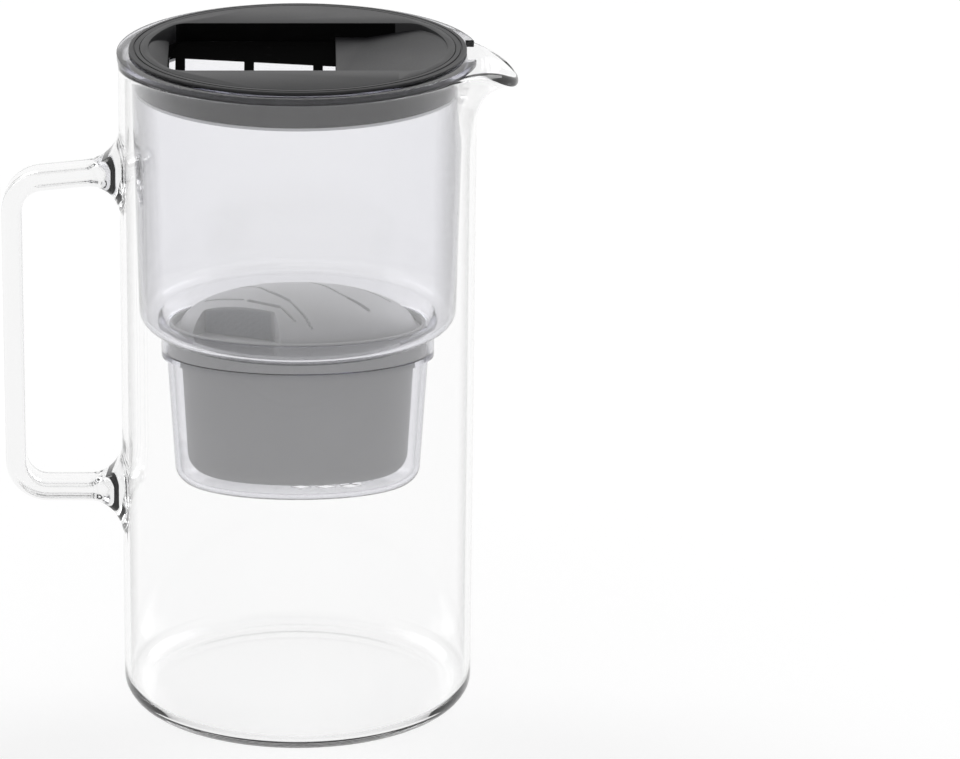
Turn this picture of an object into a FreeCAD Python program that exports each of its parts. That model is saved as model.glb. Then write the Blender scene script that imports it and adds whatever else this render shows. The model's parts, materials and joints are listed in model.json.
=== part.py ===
import FreeCAD, Part
import math
import os
import Sketcher

# Water filter pitcher, in millimetres.
# The origin is the centre of the glass base on the table. +Z is up, the spout points to +X, the handle to -X.
# The hopper hangs in the glass by its flange, the cartridge stands in the hopper, and the lid closes it.

SIZES = {
    # Glass carafe
    "glass_radius": 69.0,
    "glass_wall": 2.5,
    "glass_height": 261.0,
    "base_thickness": 4.0,
    "base_corner_radius": 8.0,
    "base_inner_radius": 5.5,
    # Pouring spout
    "spout_reach": 14.8,
    "spout_depth": 24.0,
    "spout_half_width": 38.0,
    "spout_wall": 2.8,
    "spout_droop": 9.5,
    "spout_droop_run": 16.5,
    "spout_droop_radius": 70.0,
    # Glass handle
    "handle_standoff": 41.7,
    "handle_thickness": 7.8,
    "handle_width": 16.0,
    "handle_corner_radius": 3.0,
    "handle_bend_radius": 12.5,
    "handle_lower_height": 85.4,
    "handle_upper_height": 217.0,
    "handle_upper_slope": 5.8,
    "handle_root_radius": 10.5,
    "handle_root_depth": 12.0,
    # Hopper
    "flange_overhang": 0.5,
    "flange_thickness": 2.7,
    "hopper_clearance": 2.4,
    "hopper_draft": 2.3,
    "hopper_wall": 2.0,
    "hopper_depth": 104.1,
    "hopper_corner_radius": 3.5,
    "notch_half_width": 14.0,
    "notch_clearance": 0.6,
    "collar_height": 16.1,
    "collar_clearance": 1.0,
    "pocket_end_clearance": 3.7,
    "pocket_side_clearance": 2.5,
    "pocket_under": 3.0,
    "pocket_corner_radius": 8.0,
    "drain_pitch": 9.7,
    "drain_web": 1.6,
    "drain_centre": 11.0,
    # Cartridge
    "cup_half_length": 45.4,
    "cup_half_width": 26.0,
    "cup_taper": 2.8,
    "cup_depth": 49.2,
    "cup_wall": 1.6,
    "cup_corner_radius": 9.0,
    "cup_hole_radius": 1.5,
    "cup_hole_pitch": 9.0,
    "band_end_overhang": 5.0,
    "band_side_overhang": 4.0,
    "band_height": 12.0,
    "cap_recess": 2.8,
    "cap_plate": 2.0,
    "cap_clearance": 0.2,
    "dome_margin": 2.2,
    "dome_height": 17.0,
    "dome_wall": 1.6,
    "niche_slope": 20.7,
    "niche_start": 2.2,
    "niche_end": 31.3,
    "niche_depth": 4.5,
    "niche_floor": 1.5,
    "slit_start": 17.0,
    "slit_end": 30.0,
    "slit_aside": 1.6,
    "slit_width": 1.0,
    "slit_depth": 1.0,
    "screen_thickness": 0.7,
    "screen_margin": 2.5,
    "screen_height": 7.5,
    "screen_clearance": 0.1,
    "felt_thickness": 3.0,
    "mesh_thickness": 0.6,
    "carbon_depth": 25.0,
    "media_clearance": 0.3,
    # Lid
    "lid_setback": 4.6,
    "lid_thickness": 1.4,
    "lid_split_inset": 0.7,
    "lid_split_gap": 0.2,
    "skirt_clearance": 0.7,
    "skirt_wall": 2.0,
    "skirt_depth": 13.0,
    "seal_height": 1.2,
    "seal_proud": 0.05,
    "opening_half_width": 34.0,
    "opening_margin": 3.3,
    "opening_corner_radius": 7.0,
    "tray_depth": 5.9,
    "tray_wall": 1.6,
    "tray_lip": 0.6,
    "ramp_start": 27.0,
    "back_slope_run": 7.4,
    "chute_near": 14.7,
    "chute_bottom": 10.6,
    "chute_foot_half_width": 20.0,
    "window_height": 6.07,
    "window_slope": 2.27,
    "window_post": 3.8,
    # Cuts
    "overrun": 5.0,
    "pick_reach": 0.05,
}

# Spout stations from inside the jug to the tip, as shares of the reach, the depth and the half width.
# The last row is how much the wall there leans back into the jug: one is upright glass, zero is level glass.
STATION_REACH_SHARES = (-0.81, 0.007, 0.047, 0.088, 0.149, 0.264, 0.432, 0.676, 1.0)
STATION_DEPTH_SHARES = (1.625, 1.02, 0.896, 0.767, 0.642, 0.556, 0.504, 0.458, 0.433)
STATION_RADIUS_SHARES = (1.0, 0.69, 0.71, 0.727, 0.752, 0.737, 0.718, 0.637, 0.37)
STATION_LEAN_SHARES = (0.7, 0.98, 0.98, 0.97, 0.9, 0.65, 0.37, 0.2, 0.12)

# Drain rows across the pocket floor: each row's place as a share of the pitch, and how many cells it has.
DRAIN_ROW_SHARES = (0.0, 0.866, -0.866)
DRAIN_ROW_COUNTS = (4, 3, 3)
CUP_HOLE_ROW_SHARES = (-1.0, 0.0, 1.0)
CUP_HOLES_ACROSS = 5

# How the windows along the chute share the length that the posts between them leave open.
WINDOW_WIDTH_SHARES = (0.045, 0.4315, 0.4315, 0.092)

CELL_SIDES_COUNT = 6
CELL_TURN = 30.0
QUARTER_TURN = 90.0
CELL_SHARE = 0.5774
HALF_SHARE = 0.5
FULL_TURN = 360.0

doc = FreeCAD.newDocument("water_filter_pitcher")


class Size:
    """A length together with the expression that ties it to the sheet."""

    def __init__(self, value, text):
        self.value = value
        self.text = text

    def __add__(self, other):
        other = as_size(other)
        return Size(self.value + other.value, f"({self.text} + {other.text})")

    def __sub__(self, other):
        other = as_size(other)
        return Size(self.value - other.value, f"({self.text} - {other.text})")

    def __mul__(self, other):
        other = as_size(other)
        return Size(self.value * other.value, f"({self.text} * {other.text})")

    def __truediv__(self, other):
        other = as_size(other)
        return Size(self.value / other.value, f"({self.text} / {other.text})")

    def __neg__(self):
        return Size(-self.value, f"(-{self.text})")


def as_size(value):
    """Gives a plain number the form of a Size."""
    if isinstance(value, Size):
        return value
    return Size(float(value), repr(float(value)))


class SizeSheet:
    """Keeps the driving dimensions in a spreadsheet and hands them out by name."""

    def __init__(self, sizes):
        self.sheet = doc.addObject("Spreadsheet::Sheet", "Sizes")
        self.sizes = sizes
        for row, (alias, value) in enumerate(sizes.items(), 1):
            self.sheet.set(f"A{row}", alias)
            self.sheet.set(f"B{row}", str(value))
            self.sheet.setAlias(f"B{row}", alias)
        doc.recompute()

    def __getattr__(self, alias):
        return Size(self.sizes[alias], f"{self.sheet.Name}.{alias}")


ZERO = as_size(0)
size = SizeSheet(SIZES)

# Radii and half sizes that several pieces share
glass_inside = size.glass_radius - size.glass_wall
handle_reach = size.glass_radius + size.handle_standoff
flange_radius = size.glass_radius + size.flange_overhang
hopper_top_radius = glass_inside - size.hopper_clearance
hopper_bottom_radius = hopper_top_radius - size.hopper_draft
skirt_radius = hopper_top_radius - size.hopper_wall - size.skirt_clearance
lid_radius = flange_radius - size.lid_setback
lid_split_radius = skirt_radius - size.lid_split_inset
opening_end_radius = lid_split_radius - size.opening_margin
back_slope_end = opening_end_radius - size.back_slope_run
band_half_length = size.cup_half_length + size.band_end_overhang
band_half_width = size.cup_half_width + size.band_side_overhang
dome_half_length = band_half_length - size.cup_wall - size.dome_margin
dome_half_width = band_half_width - size.cup_wall - size.dome_margin

# Heights that several pieces share
rim_level = size.glass_height
flange_top = rim_level + size.flange_thickness
lid_top = flange_top + size.lid_thickness
hopper_floor_under = rim_level - size.hopper_depth
hopper_floor_top = hopper_floor_under + size.hopper_wall
collar_bottom = hopper_floor_under - size.collar_height
ledge_level = collar_bottom + size.hopper_wall
band_top = ledge_level + size.band_height
plate_top = band_top - size.cap_recess
plate_under = plate_top - size.cap_plate
vault_top = plate_top + size.dome_height
vault_height = vault_top - plate_under
cup_bottom = ledge_level - size.cup_depth
pocket_bottom = cup_bottom - size.pocket_under - size.hopper_wall
ledge_top = ledge_level + size.cup_wall
tray_floor = lid_top - size.tray_depth
tray_under = tray_floor - size.tray_wall
chute_low = tray_under - size.chute_bottom


# Sketches

def new_body(label):
    """Adds an empty body with its own label."""
    body = doc.addObject("PartDesign::Body", label)
    body.Label = label
    return body


def new_sketch(body, name, role, offset=ZERO):
    """Adds a sketch on one of the body's origin planes, moved along the plane's normal."""
    plane = [item for item in body.Origin.OriginFeatures if item.Role == role][0]
    sketch = body.newObject("Sketcher::SketchObject", name)
    sketch.AttachmentSupport = [(plane, "")]
    sketch.MapMode = "FlatFace"
    sketch.setExpression("AttachmentOffset.Base.z", offset.text)
    return sketch


def bound(sketch, text, *parts):
    """Adds a dimension whose value follows the sheet: the last of parts is its Size."""
    index = sketch.addConstraint(Sketcher.Constraint(text, *parts[:-1], parts[-1].value))
    sketch.setExpression(f"Constraints[{index}]", parts[-1].text)


def pin(sketch, geometry, point, across, up):
    """Ties a point of the sketch to its two coordinates."""
    for kind, place, axis in (("DistanceX", across, -2), ("DistanceY", up, -1)):
        if place.value == 0:
            sketch.addConstraint(Sketcher.Constraint("PointOnObject", geometry, point, axis))
        else:
            bound(sketch, kind, -1, 1, geometry, point, place)


def at(across, up):
    """Gives the sketch point of two Sizes."""
    return FreeCAD.Vector(across.value, up.value, 0)


def draw_circle(sketch, across, up, radius):
    """Draws a circle bound to its centre and radius."""
    circle = Part.Circle(at(across, up), FreeCAD.Vector(0, 0, 1), radius.value)
    geometry = sketch.addGeometry(circle)
    bound(sketch, "Radius", geometry, radius)
    pin(sketch, geometry, 3, across, up)


def draw_polygon(sketch, corners):
    """Draws a closed outline of straight lines through bound corners."""
    count = len(corners)
    for index in range(count):
        start = at(*corners[index])
        end = at(*corners[(index + 1) % count])
        sketch.addGeometry(Part.LineSegment(start, end))
    for index in range(count):
        sketch.addConstraint(Sketcher.Constraint("Coincident", index, 2, (index + 1) % count, 1))
    for index in range(count):
        pin(sketch, index, 1, *corners[index])


def draw_rounded_rectangle(sketch, low, high, radius):
    """Draws a rectangle between two corners, with round corners of one radius."""
    (x0, y0), (x1, y1) = [(corner[0].value, corner[1].value) for corner in (low, high)]
    r = radius.value
    lines = (((x0 + r, y0), (x1 - r, y0)), ((x1, y0 + r), (x1, y1 - r)),
             ((x1 - r, y1), (x0 + r, y1)), ((x0, y1 - r), (x0, y0 + r)))
    centres = ((x1 - r, y0 + r), (x1 - r, y1 - r), (x0 + r, y1 - r), (x0 + r, y0 + r))
    for start, end in lines:
        sketch.addGeometry(Part.LineSegment(FreeCAD.Vector(*start, 0), FreeCAD.Vector(*end, 0)))
    for quarter, centre in enumerate(centres):
        circle = Part.Circle(FreeCAD.Vector(*centre, 0), FreeCAD.Vector(0, 0, 1), r)
        first = (quarter - 1) * math.pi / 2
        sketch.addGeometry(Part.ArcOfCircle(circle, first, first + math.pi / 2))
    for side in range(4):
        sketch.addConstraint(Sketcher.Constraint("Tangent", side, 2, 4 + side, 1))
        sketch.addConstraint(Sketcher.Constraint("Tangent", 4 + side, 2, (side + 1) % 4, 1))
        bound(sketch, "Radius", 4 + side, radius)
    for side, kind in enumerate(("Horizontal", "Vertical", "Horizontal", "Vertical")):
        sketch.addConstraint(Sketcher.Constraint(kind, side))
    bound(sketch, "DistanceY", -1, 1, 0, 1, low[1])
    bound(sketch, "DistanceX", -1, 1, 1, 1, high[0])
    bound(sketch, "DistanceY", -1, 1, 2, 1, high[1])
    bound(sketch, "DistanceX", -1, 1, 3, 1, low[0])


# Features

def checked(body, feature, adds):
    """Makes sure that a feature really adds or removes material."""
    before = feature.BaseFeature.Shape.Volume if feature.BaseFeature else 0
    doc.recompute()
    change = feature.Shape.Volume - before
    if (change > 0) != adds:
        raise RuntimeError(f"{feature.Name} changes the volume by {change}")
    body.Tip = feature
    return feature


def pad(body, name, sketch, length, symmetric=False):
    """Pads a sketch along its normal."""
    feature = body.newObject("PartDesign::Pad", name)
    feature.Profile = sketch
    feature.setExpression("Length", length.text)
    if symmetric:
        feature.Midplane = True
    return checked(body, feature, True)


def pocket(body, name, sketch, length, symmetric=False, reverse=False):
    """Cuts a sketch into the body, against its normal."""
    feature = body.newObject("PartDesign::Pocket", name)
    feature.Profile = sketch
    feature.setExpression("Length", length.text)
    feature.Reversed = reverse
    if symmetric:
        feature.Midplane = True
    return checked(body, feature, False)


def revolve(body, name, corners):
    """Turns a closed outline of radius and height about the Z axis."""
    sketch = new_sketch(body, f"{name}_outline", "XZ_Plane")
    draw_polygon(sketch, corners)
    feature = body.newObject("PartDesign::Revolution", name)
    feature.Profile = sketch
    feature.ReferenceAxis = (sketch, ["V_Axis"])
    feature.Angle = FULL_TURN
    return checked(body, feature, True)


def loft(body, name, kind, sketches):
    """Lofts through sketches, adding or removing as kind says."""
    feature = body.newObject(f"PartDesign::{kind}", name)
    feature.Profile = sketches[0]
    feature.Sections = sketches[1:]
    feature.Ruled = True
    return checked(body, feature, kind == "AdditiveLoft")


def round_edges(body, name, radius, chosen):
    """Rounds the edges of the body's tip that the test chooses."""
    doc.recompute()
    base = body.Tip
    names = [f"Edge{index}" for index, edge in enumerate(base.Shape.Edges, 1) if chosen(edge)]
    feature = body.newObject("PartDesign::Fillet", name)
    feature.Base = (base, names)
    feature.setExpression("Radius", radius.text)
    doc.recompute()
    body.Tip = feature
    return feature


def level_edges(level):
    """Chooses the edges that lie flat at one height."""
    def chosen(edge):
        box = edge.BoundBox
        reach = size.pick_reach.value
        return abs(box.ZMin - level.value) < reach and abs(box.ZMax - level.value) < reach
    return chosen


def upright_edges(low, high):
    """Chooses the straight edges that stand between two heights."""
    def chosen(edge):
        box = edge.BoundBox
        reach = size.pick_reach.value
        return (max(box.XLength, box.YLength) < reach
                and abs(box.ZMin - low.value) < reach and abs(box.ZMax - high.value) < reach)
    return chosen


# Solids of the Part workbench

def part(kind, name, **sizes):
    """Adds a Part object with its properties tied to the sheet."""
    item = doc.addObject(f"Part::{kind}", name)
    for prop, value in sizes.items():
        item.setExpression(prop, value.text)
    return item


def place(item, across, along, up):
    """Ties an object's place to the sheet."""
    for axis, value in (("x", across), ("y", along), ("z", up)):
        item.setExpression(f"Placement.Base.{axis}", value.text)
    return item


def make_box(name, low, high):
    """Makes a box between two corners."""
    item = part("Box", name, Length=high[0] - low[0], Width=high[1] - low[1], Height=high[2] - low[2])
    return place(item, *low)


def make_cylinder(name, radius, low, high):
    """Makes a cylinder on the Z axis between two heights."""
    return place(part("Cylinder", name, Radius=radius, Height=high - low), ZERO, ZERO, low)


def make_oval(name, half_length, half_width, level):
    """Makes an oval outline at one height, long in X."""
    oval = part("Ellipse", name, MajorRadius=half_length, MinorRadius=half_width)
    return place(oval, ZERO, ZERO, level)


def make_tapered_oval(name, low, high):
    """Makes the solid between two ovals, each given as half length, half width and height."""
    item = doc.addObject("Part::Loft", name)
    item.Sections = [make_oval(f"{name}_low", *low), make_oval(f"{name}_high", *high)]
    item.Solid = True
    item.Ruled = True
    return item


def join(name, *items):
    """Fuses solids into one."""
    item = doc.addObject("Part::MultiFuse", name)
    item.Shapes = list(items)
    item.Refine = True
    return item


def overlap(name, *items):
    """Keeps what solids have in common."""
    item = doc.addObject("Part::MultiCommon", name)
    item.Shapes = list(items)
    return item


def cut(name, base, *tools):
    """Takes tools away from a solid."""
    item = doc.addObject("Part::Cut", name)
    item.Base = base
    item.Tool = tools[0] if len(tools) == 1 else join(f"{name}_tools", *tools)
    return item


def round_solid(name, base, radius, chosen):
    """Rounds the edges of a solid that the test chooses."""
    doc.recompute()
    item = doc.addObject("Part::Fillet", name)
    item.Base = base
    edges = enumerate(base.Shape.Edges, 1)
    item.Edges = [(index, radius.value, radius.value) for index, edge in edges if chosen(edge)]
    doc.recompute()
    return item


# Carafe

def spout_sketches(body, name, wall, beyond):
    """Draws the round sections of the spout, a wall inside its outer face, the last one beyond the tip."""
    sketches = []
    stations = zip(STATION_REACH_SHARES, STATION_DEPTH_SHARES, STATION_RADIUS_SHARES, STATION_LEAN_SHARES)
    last = len(STATION_REACH_SHARES) - 1
    for index, (reach, depth, share, lean) in enumerate(stations):
        offset = size.glass_radius + size.spout_reach * reach - wall * lean
        if index == last:
            offset = offset + beyond
        under = rim_level - size.spout_depth * depth + wall * math.sqrt(1 - lean ** 2)
        radius = size.spout_half_width * share - wall
        sketch = new_sketch(body, f"{name}_{index}", "YZ_Plane", offset)
        draw_circle(sketch, ZERO, under + radius, radius)
        sketches.append(sketch)
    return sketches


def draw_droop(sketch):
    """Draws the space above the rim, which comes down along an arc to the spout's tip."""
    tip_across = size.glass_radius + size.spout_reach
    tip_level = rim_level - size.spout_droop
    start_across = tip_across - size.spout_droop_run
    high = rim_level + size.spout_half_width + size.spout_half_width
    far = tip_across + size.spout_reach
    start = at(start_across, rim_level)
    tip = at(tip_across, tip_level)
    chord = tip - start
    radius = size.spout_droop_radius.value
    half_chord = chord * HALF_SHARE
    sagitta = radius - math.sqrt(radius ** 2 - half_chord.Length ** 2)
    bulge = FreeCAD.Vector(-chord.y, chord.x, 0).normalize() * sagitta
    sketch.addGeometry(Part.Arc(start, start + half_chord + bulge, tip))
    corners = ((tip_across, tip_level), (far, tip_level), (far, high), (ZERO, high), (ZERO, rim_level),
               (start_across, rim_level))
    for first, second in zip(corners, corners[1:]):
        sketch.addGeometry(Part.LineSegment(at(*first), at(*second)))
    arc_ends = {"start": 2, "tip": 1}
    if (sketch.getPoint(0, 1) - start).Length < size.pick_reach.value:
        arc_ends = {"start": 1, "tip": 2}
    for index in range(1, len(corners) - 1):
        sketch.addConstraint(Sketcher.Constraint("Coincident", index, 2, index + 1, 1))
    sketch.addConstraint(Sketcher.Constraint("Coincident", 0, arc_ends["tip"], 1, 1))
    sketch.addConstraint(Sketcher.Constraint("Coincident", len(corners) - 1, 2, 0, arc_ends["start"]))
    for index, corner in enumerate(corners[:-1], 1):
        pin(sketch, index, 1, *corner)
    pin(sketch, len(corners) - 1, 2, *corners[-1])
    bound(sketch, "Radius", 0, size.spout_droop_radius)


def carafe_glass():
    """Glass cylinder with a round base corner and a spout that is pulled out of the rim and droops."""
    body = new_body("carafe_glass")
    outside = new_sketch(body, "glass_circle", "XY_Plane")
    draw_circle(outside, ZERO, ZERO, size.glass_radius)
    pad(body, "glass_blank", outside, size.glass_height)
    round_edges(body, "base_corner", size.base_corner_radius, level_edges(ZERO))
    loft(body, "spout_blank", "AdditiveLoft", spout_sketches(body, "spout_out", ZERO, ZERO))
    inside = new_sketch(body, "cavity_circle", "XY_Plane", rim_level)
    draw_circle(inside, ZERO, ZERO, glass_inside)
    pocket(body, "cavity", inside, size.glass_height - size.base_thickness)
    round_edges(body, "cavity_corner", size.base_inner_radius, level_edges(size.base_thickness))
    channel = spout_sketches(body, "spout_in", size.spout_wall, size.overrun)
    loft(body, "spout_channel", "SubtractiveLoft", channel)
    droop = new_sketch(body, "droop_outline", "XZ_Plane")
    draw_droop(droop)
    width = size.spout_half_width + size.spout_half_width + size.spout_half_width
    pocket(body, "droop", droop, width, symmetric=True)
    return body


def draw_handle_path(sketch):
    """Draws the centre line of the bar: level lower arm, upright grip and sloping upper arm."""
    root = size.glass_radius - size.handle_root_depth
    slope = math.radians(size.handle_upper_slope.value)
    grip = -handle_reach.value
    bend = size.handle_bend_radius.value
    low = size.handle_lower_height.value
    high = size.handle_upper_height.value
    root_x = -root.value
    corner_high = high - (root_x - grip) * math.tan(slope)
    trim = bend / math.tan((math.pi / 2 + slope) / 2)
    points = (FreeCAD.Vector(root_x, low, 0), FreeCAD.Vector(grip + bend, low, 0),
              FreeCAD.Vector(grip, low + bend, 0), FreeCAD.Vector(grip, corner_high - trim, 0),
              FreeCAD.Vector(grip + trim * math.cos(slope), corner_high + trim * math.sin(slope), 0),
              FreeCAD.Vector(root_x, high, 0))
    low_centre = FreeCAD.Vector(grip + bend, low + bend, 0)
    high_centre = FreeCAD.Vector(grip + bend, points[3].y, 0)
    normal = FreeCAD.Vector(0, 0, 1)
    sketch.addGeometry(Part.LineSegment(points[0], points[1]))
    low_circle = Part.Circle(low_centre, normal, bend)
    sketch.addGeometry(Part.ArcOfCircle(low_circle, math.pi, 3 * math.pi / 2))
    sketch.addGeometry(Part.LineSegment(points[2], points[3]))
    high_circle = Part.Circle(high_centre, normal, bend)
    sketch.addGeometry(Part.ArcOfCircle(high_circle, math.pi / 2 + slope, math.pi))
    sketch.addGeometry(Part.LineSegment(points[4], points[5]))
    for first, first_end, second, second_end in ((0, 2, 1, 2), (1, 1, 2, 1), (2, 2, 3, 2), (3, 1, 4, 1)):
        sketch.addConstraint(Sketcher.Constraint("Tangent", first, first_end, second, second_end))
    pin(sketch, 0, 1, -root, size.handle_lower_height)
    pin(sketch, 4, 2, -root, size.handle_upper_height)
    sketch.addConstraint(Sketcher.Constraint("Horizontal", 0))
    sketch.addConstraint(Sketcher.Constraint("Vertical", 2))
    bound(sketch, "DistanceX", -1, 1, 2, 1, -handle_reach)
    bound(sketch, "Radius", 1, size.handle_bend_radius)
    bound(sketch, "Radius", 3, size.handle_bend_radius)
    index = sketch.addConstraint(Sketcher.Constraint("Angle", 4, slope))
    sketch.setExpression(f"Constraints[{index}]", size.handle_upper_slope.text)


def carafe_handle():
    """Glass bar bent into a grip, with flared roots that end on the glass cylinder."""
    body = new_body("carafe_handle")
    margin = size.handle_width + size.handle_width
    circle = new_sketch(body, "root_circle", "XY_Plane", size.handle_lower_height - margin)
    draw_circle(circle, ZERO, ZERO, size.glass_radius)
    span = size.handle_upper_height - size.handle_lower_height + margin + margin
    pad(body, "root_blank", circle, span)
    half_thickness = size.handle_thickness * HALF_SHARE
    half_width = size.handle_width * HALF_SHARE
    section = new_sketch(body, "bar_section", "YZ_Plane", size.handle_root_depth - size.glass_radius)
    low = (-half_width, size.handle_lower_height - half_thickness)
    high = (half_width, size.handle_lower_height + half_thickness)
    draw_rounded_rectangle(section, low, high, size.handle_corner_radius)
    path = new_sketch(body, "bar_path", "XZ_Plane")
    draw_handle_path(path)
    bar = body.newObject("PartDesign::AdditivePipe", "bar")
    bar.Profile = section
    bar.Spine = path
    checked(body, bar, True)

    def root_edge(edge):
        middle = edge.valueAt((edge.FirstParameter + edge.LastParameter) / 2)
        off = abs(math.hypot(middle.x, middle.y) - size.glass_radius.value)
        inside = edge.BoundBox.YLength < size.handle_width.value + size.handle_corner_radius.value
        ends = [abs(math.hypot(v.X, v.Y) - size.glass_radius.value) for v in edge.Vertexes]
        return middle.x < 0 and inside and max(ends + [off]) < size.pick_reach.value

    round_edges(body, "root_flare", size.handle_root_radius, root_edge)
    bore = new_sketch(body, "root_bore_circle", "XY_Plane", size.handle_upper_height + margin)
    draw_circle(bore, ZERO, ZERO, size.glass_radius)
    pocket(body, "root_bore", bore, span)
    return body


# Hopper

def hopper_shell():
    """Turned wall, floor and flange of the hopper."""
    body = new_body("hopper_shell")
    top_inside = hopper_top_radius - size.hopper_wall
    bottom_inside = hopper_bottom_radius - size.hopper_wall
    revolve(body, "hopper_wall", (
        (ZERO, hopper_floor_under), (hopper_bottom_radius, hopper_floor_under),
        (hopper_top_radius, rim_level), (flange_radius, rim_level),
        (flange_radius, flange_top), (top_inside, flange_top),
        (bottom_inside, hopper_floor_top), (ZERO, hopper_floor_top)))
    round_edges(body, "hopper_corner", size.hopper_corner_radius, level_edges(hopper_floor_under))
    inner_radius = size.hopper_corner_radius - size.hopper_wall
    round_edges(body, "hopper_inner_corner", inner_radius, level_edges(hopper_floor_top))
    return body


def drain_cells():
    """Hexagonal holes through the pocket floor, in rows like a honeycomb."""
    cells = []
    radius = (size.drain_pitch - size.drain_web) * CELL_SHARE
    low = pocket_bottom - size.overrun
    height = size.hopper_wall + size.overrun + size.overrun
    for row, (row_share, count) in enumerate(zip(DRAIN_ROW_SHARES, DRAIN_ROW_COUNTS)):
        for index in range(count):
            cell = part("Prism", f"drain_{row}_{index}", Circumradius=radius, Height=height)
            cell.Polygon = CELL_SIDES_COUNT
            cell.Placement.Rotation = FreeCAD.Rotation(FreeCAD.Vector(0, 0, 1), CELL_TURN)
            across = size.drain_centre + size.drain_pitch * (index - (count - 1) / 2)
            cells.append(place(cell, across, size.drain_pitch * row_share, low))
    return cells


def hopper():
    """Funnel that hangs in the glass rim and holds the cartridge in an oval pocket."""
    shell = hopper_shell()
    wall = size.hopper_wall
    collar_length = band_half_length + size.collar_clearance
    collar_width = band_half_width + size.collar_clearance
    pocket_length = size.cup_half_length + size.pocket_end_clearance
    pocket_width = size.cup_half_width + size.pocket_side_clearance
    low_length = pocket_length - size.cup_taper
    low_width = pocket_width - size.cup_taper
    collar = make_tapered_oval("collar", (collar_length + wall, collar_width + wall, collar_bottom),
                               (collar_length + wall, collar_width + wall, hopper_floor_under))
    pocket_blank = make_tapered_oval("pocket_blank", (low_length + wall, low_width + wall, pocket_bottom),
                                     (pocket_length + wall, pocket_width + wall, collar_bottom))
    pocket_round = round_solid("pocket_round", pocket_blank, size.pocket_corner_radius,
                               level_edges(pocket_bottom))
    outside = join("hopper_outside", shell, collar, pocket_round)
    collar_space = make_tapered_oval("collar_space", (collar_length, collar_width, ledge_level),
                                     (collar_length, collar_width, hopper_floor_top + size.overrun))
    pocket_space = make_tapered_oval("pocket_space", (low_length, low_width, pocket_bottom + wall),
                                     (pocket_length, pocket_width, ledge_level))
    pocket_hollow = round_solid("pocket_hollow", pocket_space, size.pocket_corner_radius - wall,
                                level_edges(pocket_bottom + wall))
    notch_inside = hopper_top_radius + size.notch_clearance
    notch = make_box("notch", (notch_inside, -size.notch_half_width, rim_level - size.overrun),
                     (flange_radius + size.overrun, size.notch_half_width, flange_top + size.overrun))
    return cut("hopper", outside, collar_space, pocket_hollow, notch, *drain_cells())


# Cartridge

def cup_section(inset, level):
    """Gives the cup's oval at a height, inset from its outside."""
    share = (ledge_level - level) / size.cup_depth
    length = size.cup_half_length - size.cup_taper * share - inset
    width = size.cup_half_width - size.cup_taper * share - inset
    return (length, width, level)


def cartridge_cup():
    """Tapered oval cup with a wider band round its top and holes in its floor."""
    floor_top = cup_bottom + size.cup_wall
    body = make_tapered_oval("cup_blank", cup_section(ZERO, cup_bottom), cup_section(ZERO, ledge_level))
    body_round = round_solid("cup_round", body, size.cup_corner_radius, level_edges(cup_bottom))
    band = make_tapered_oval("band_blank", (band_half_length, band_half_width, ledge_level),
                             (band_half_length, band_half_width, band_top))
    outside = join("cup_outside", body_round, band)
    space = make_tapered_oval("cup_space", cup_section(size.cup_wall, floor_top),
                              cup_section(size.cup_wall, ledge_top))
    space_round = round_solid("cup_hollow", space, size.cup_corner_radius - size.cup_wall,
                              level_edges(floor_top))
    inner_length = band_half_length - size.cup_wall
    inner_width = band_half_width - size.cup_wall
    band_space = make_tapered_oval("band_space", (inner_length, inner_width, ledge_top),
                                   (inner_length, inner_width, band_top + size.overrun))
    holes = []
    for row, row_share in enumerate(CUP_HOLE_ROW_SHARES):
        for index in range(CUP_HOLES_ACROSS):
            hole = make_cylinder(f"cup_hole_{row}_{index}", size.cup_hole_radius, cup_bottom - size.overrun,
                                 floor_top + size.overrun)
            across = size.cup_hole_pitch * (index - (CUP_HOLES_ACROSS - 1) / 2)
            holes.append(place(hole, across, size.cup_hole_pitch * row_share, cup_bottom - size.overrun))
    return cut("cartridge_cup", outside, space_round, band_space, *holes)


def dome(name, inset):
    """Half egg of the cap's vault, inset from its outside."""
    egg = part("Ellipsoid", name, Radius1=vault_height - inset, Radius2=dome_half_length - inset,
               Radius3=dome_half_width - inset)
    egg.Angle1 = 0
    return place(egg, ZERO, ZERO, plate_under)


def slanted_box(name, turned, low, high):
    """Box laid along the cap's slanted chords; the turned one is its half-turn twin."""
    slope = math.radians(size.niche_slope.value)
    along_share, aside_share = math.cos(slope), math.sin(slope)
    box = make_box(name, low, high)
    across = low[0] * along_share + low[1] * aside_share
    back = low[1] * along_share - low[0] * aside_share
    angle = -size.niche_slope.value
    if turned:
        across, back, angle = -across, -back, angle + FULL_TURN * HALF_SHARE
    box.Placement.Rotation = FreeCAD.Rotation(FreeCAD.Vector(0, 0, 1), angle)
    return place(box, across, back, low[2])


def niche(name, turned, wall, floor):
    """Grip niche in one side of the vault, a wall larger all round."""
    back = dome_half_width - size.niche_depth - wall
    low = (-size.niche_end - wall, -dome_half_length, floor)
    high = (-size.niche_start + wall, -back, vault_top + size.overrun)
    return slanted_box(name, turned, low, high)


def slit(name, turned):
    """Shallow slit near the top of the vault."""
    half = size.slit_width * HALF_SHARE
    low = (size.slit_start, -size.slit_aside - half, plate_top)
    high = (size.slit_end, half - size.slit_aside, vault_top + size.overrun)
    slab = slanted_box(f"{name}_slab", turned, low, high)
    return cut(name, slab, dome(f"{name}_core", size.slit_depth))


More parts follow.
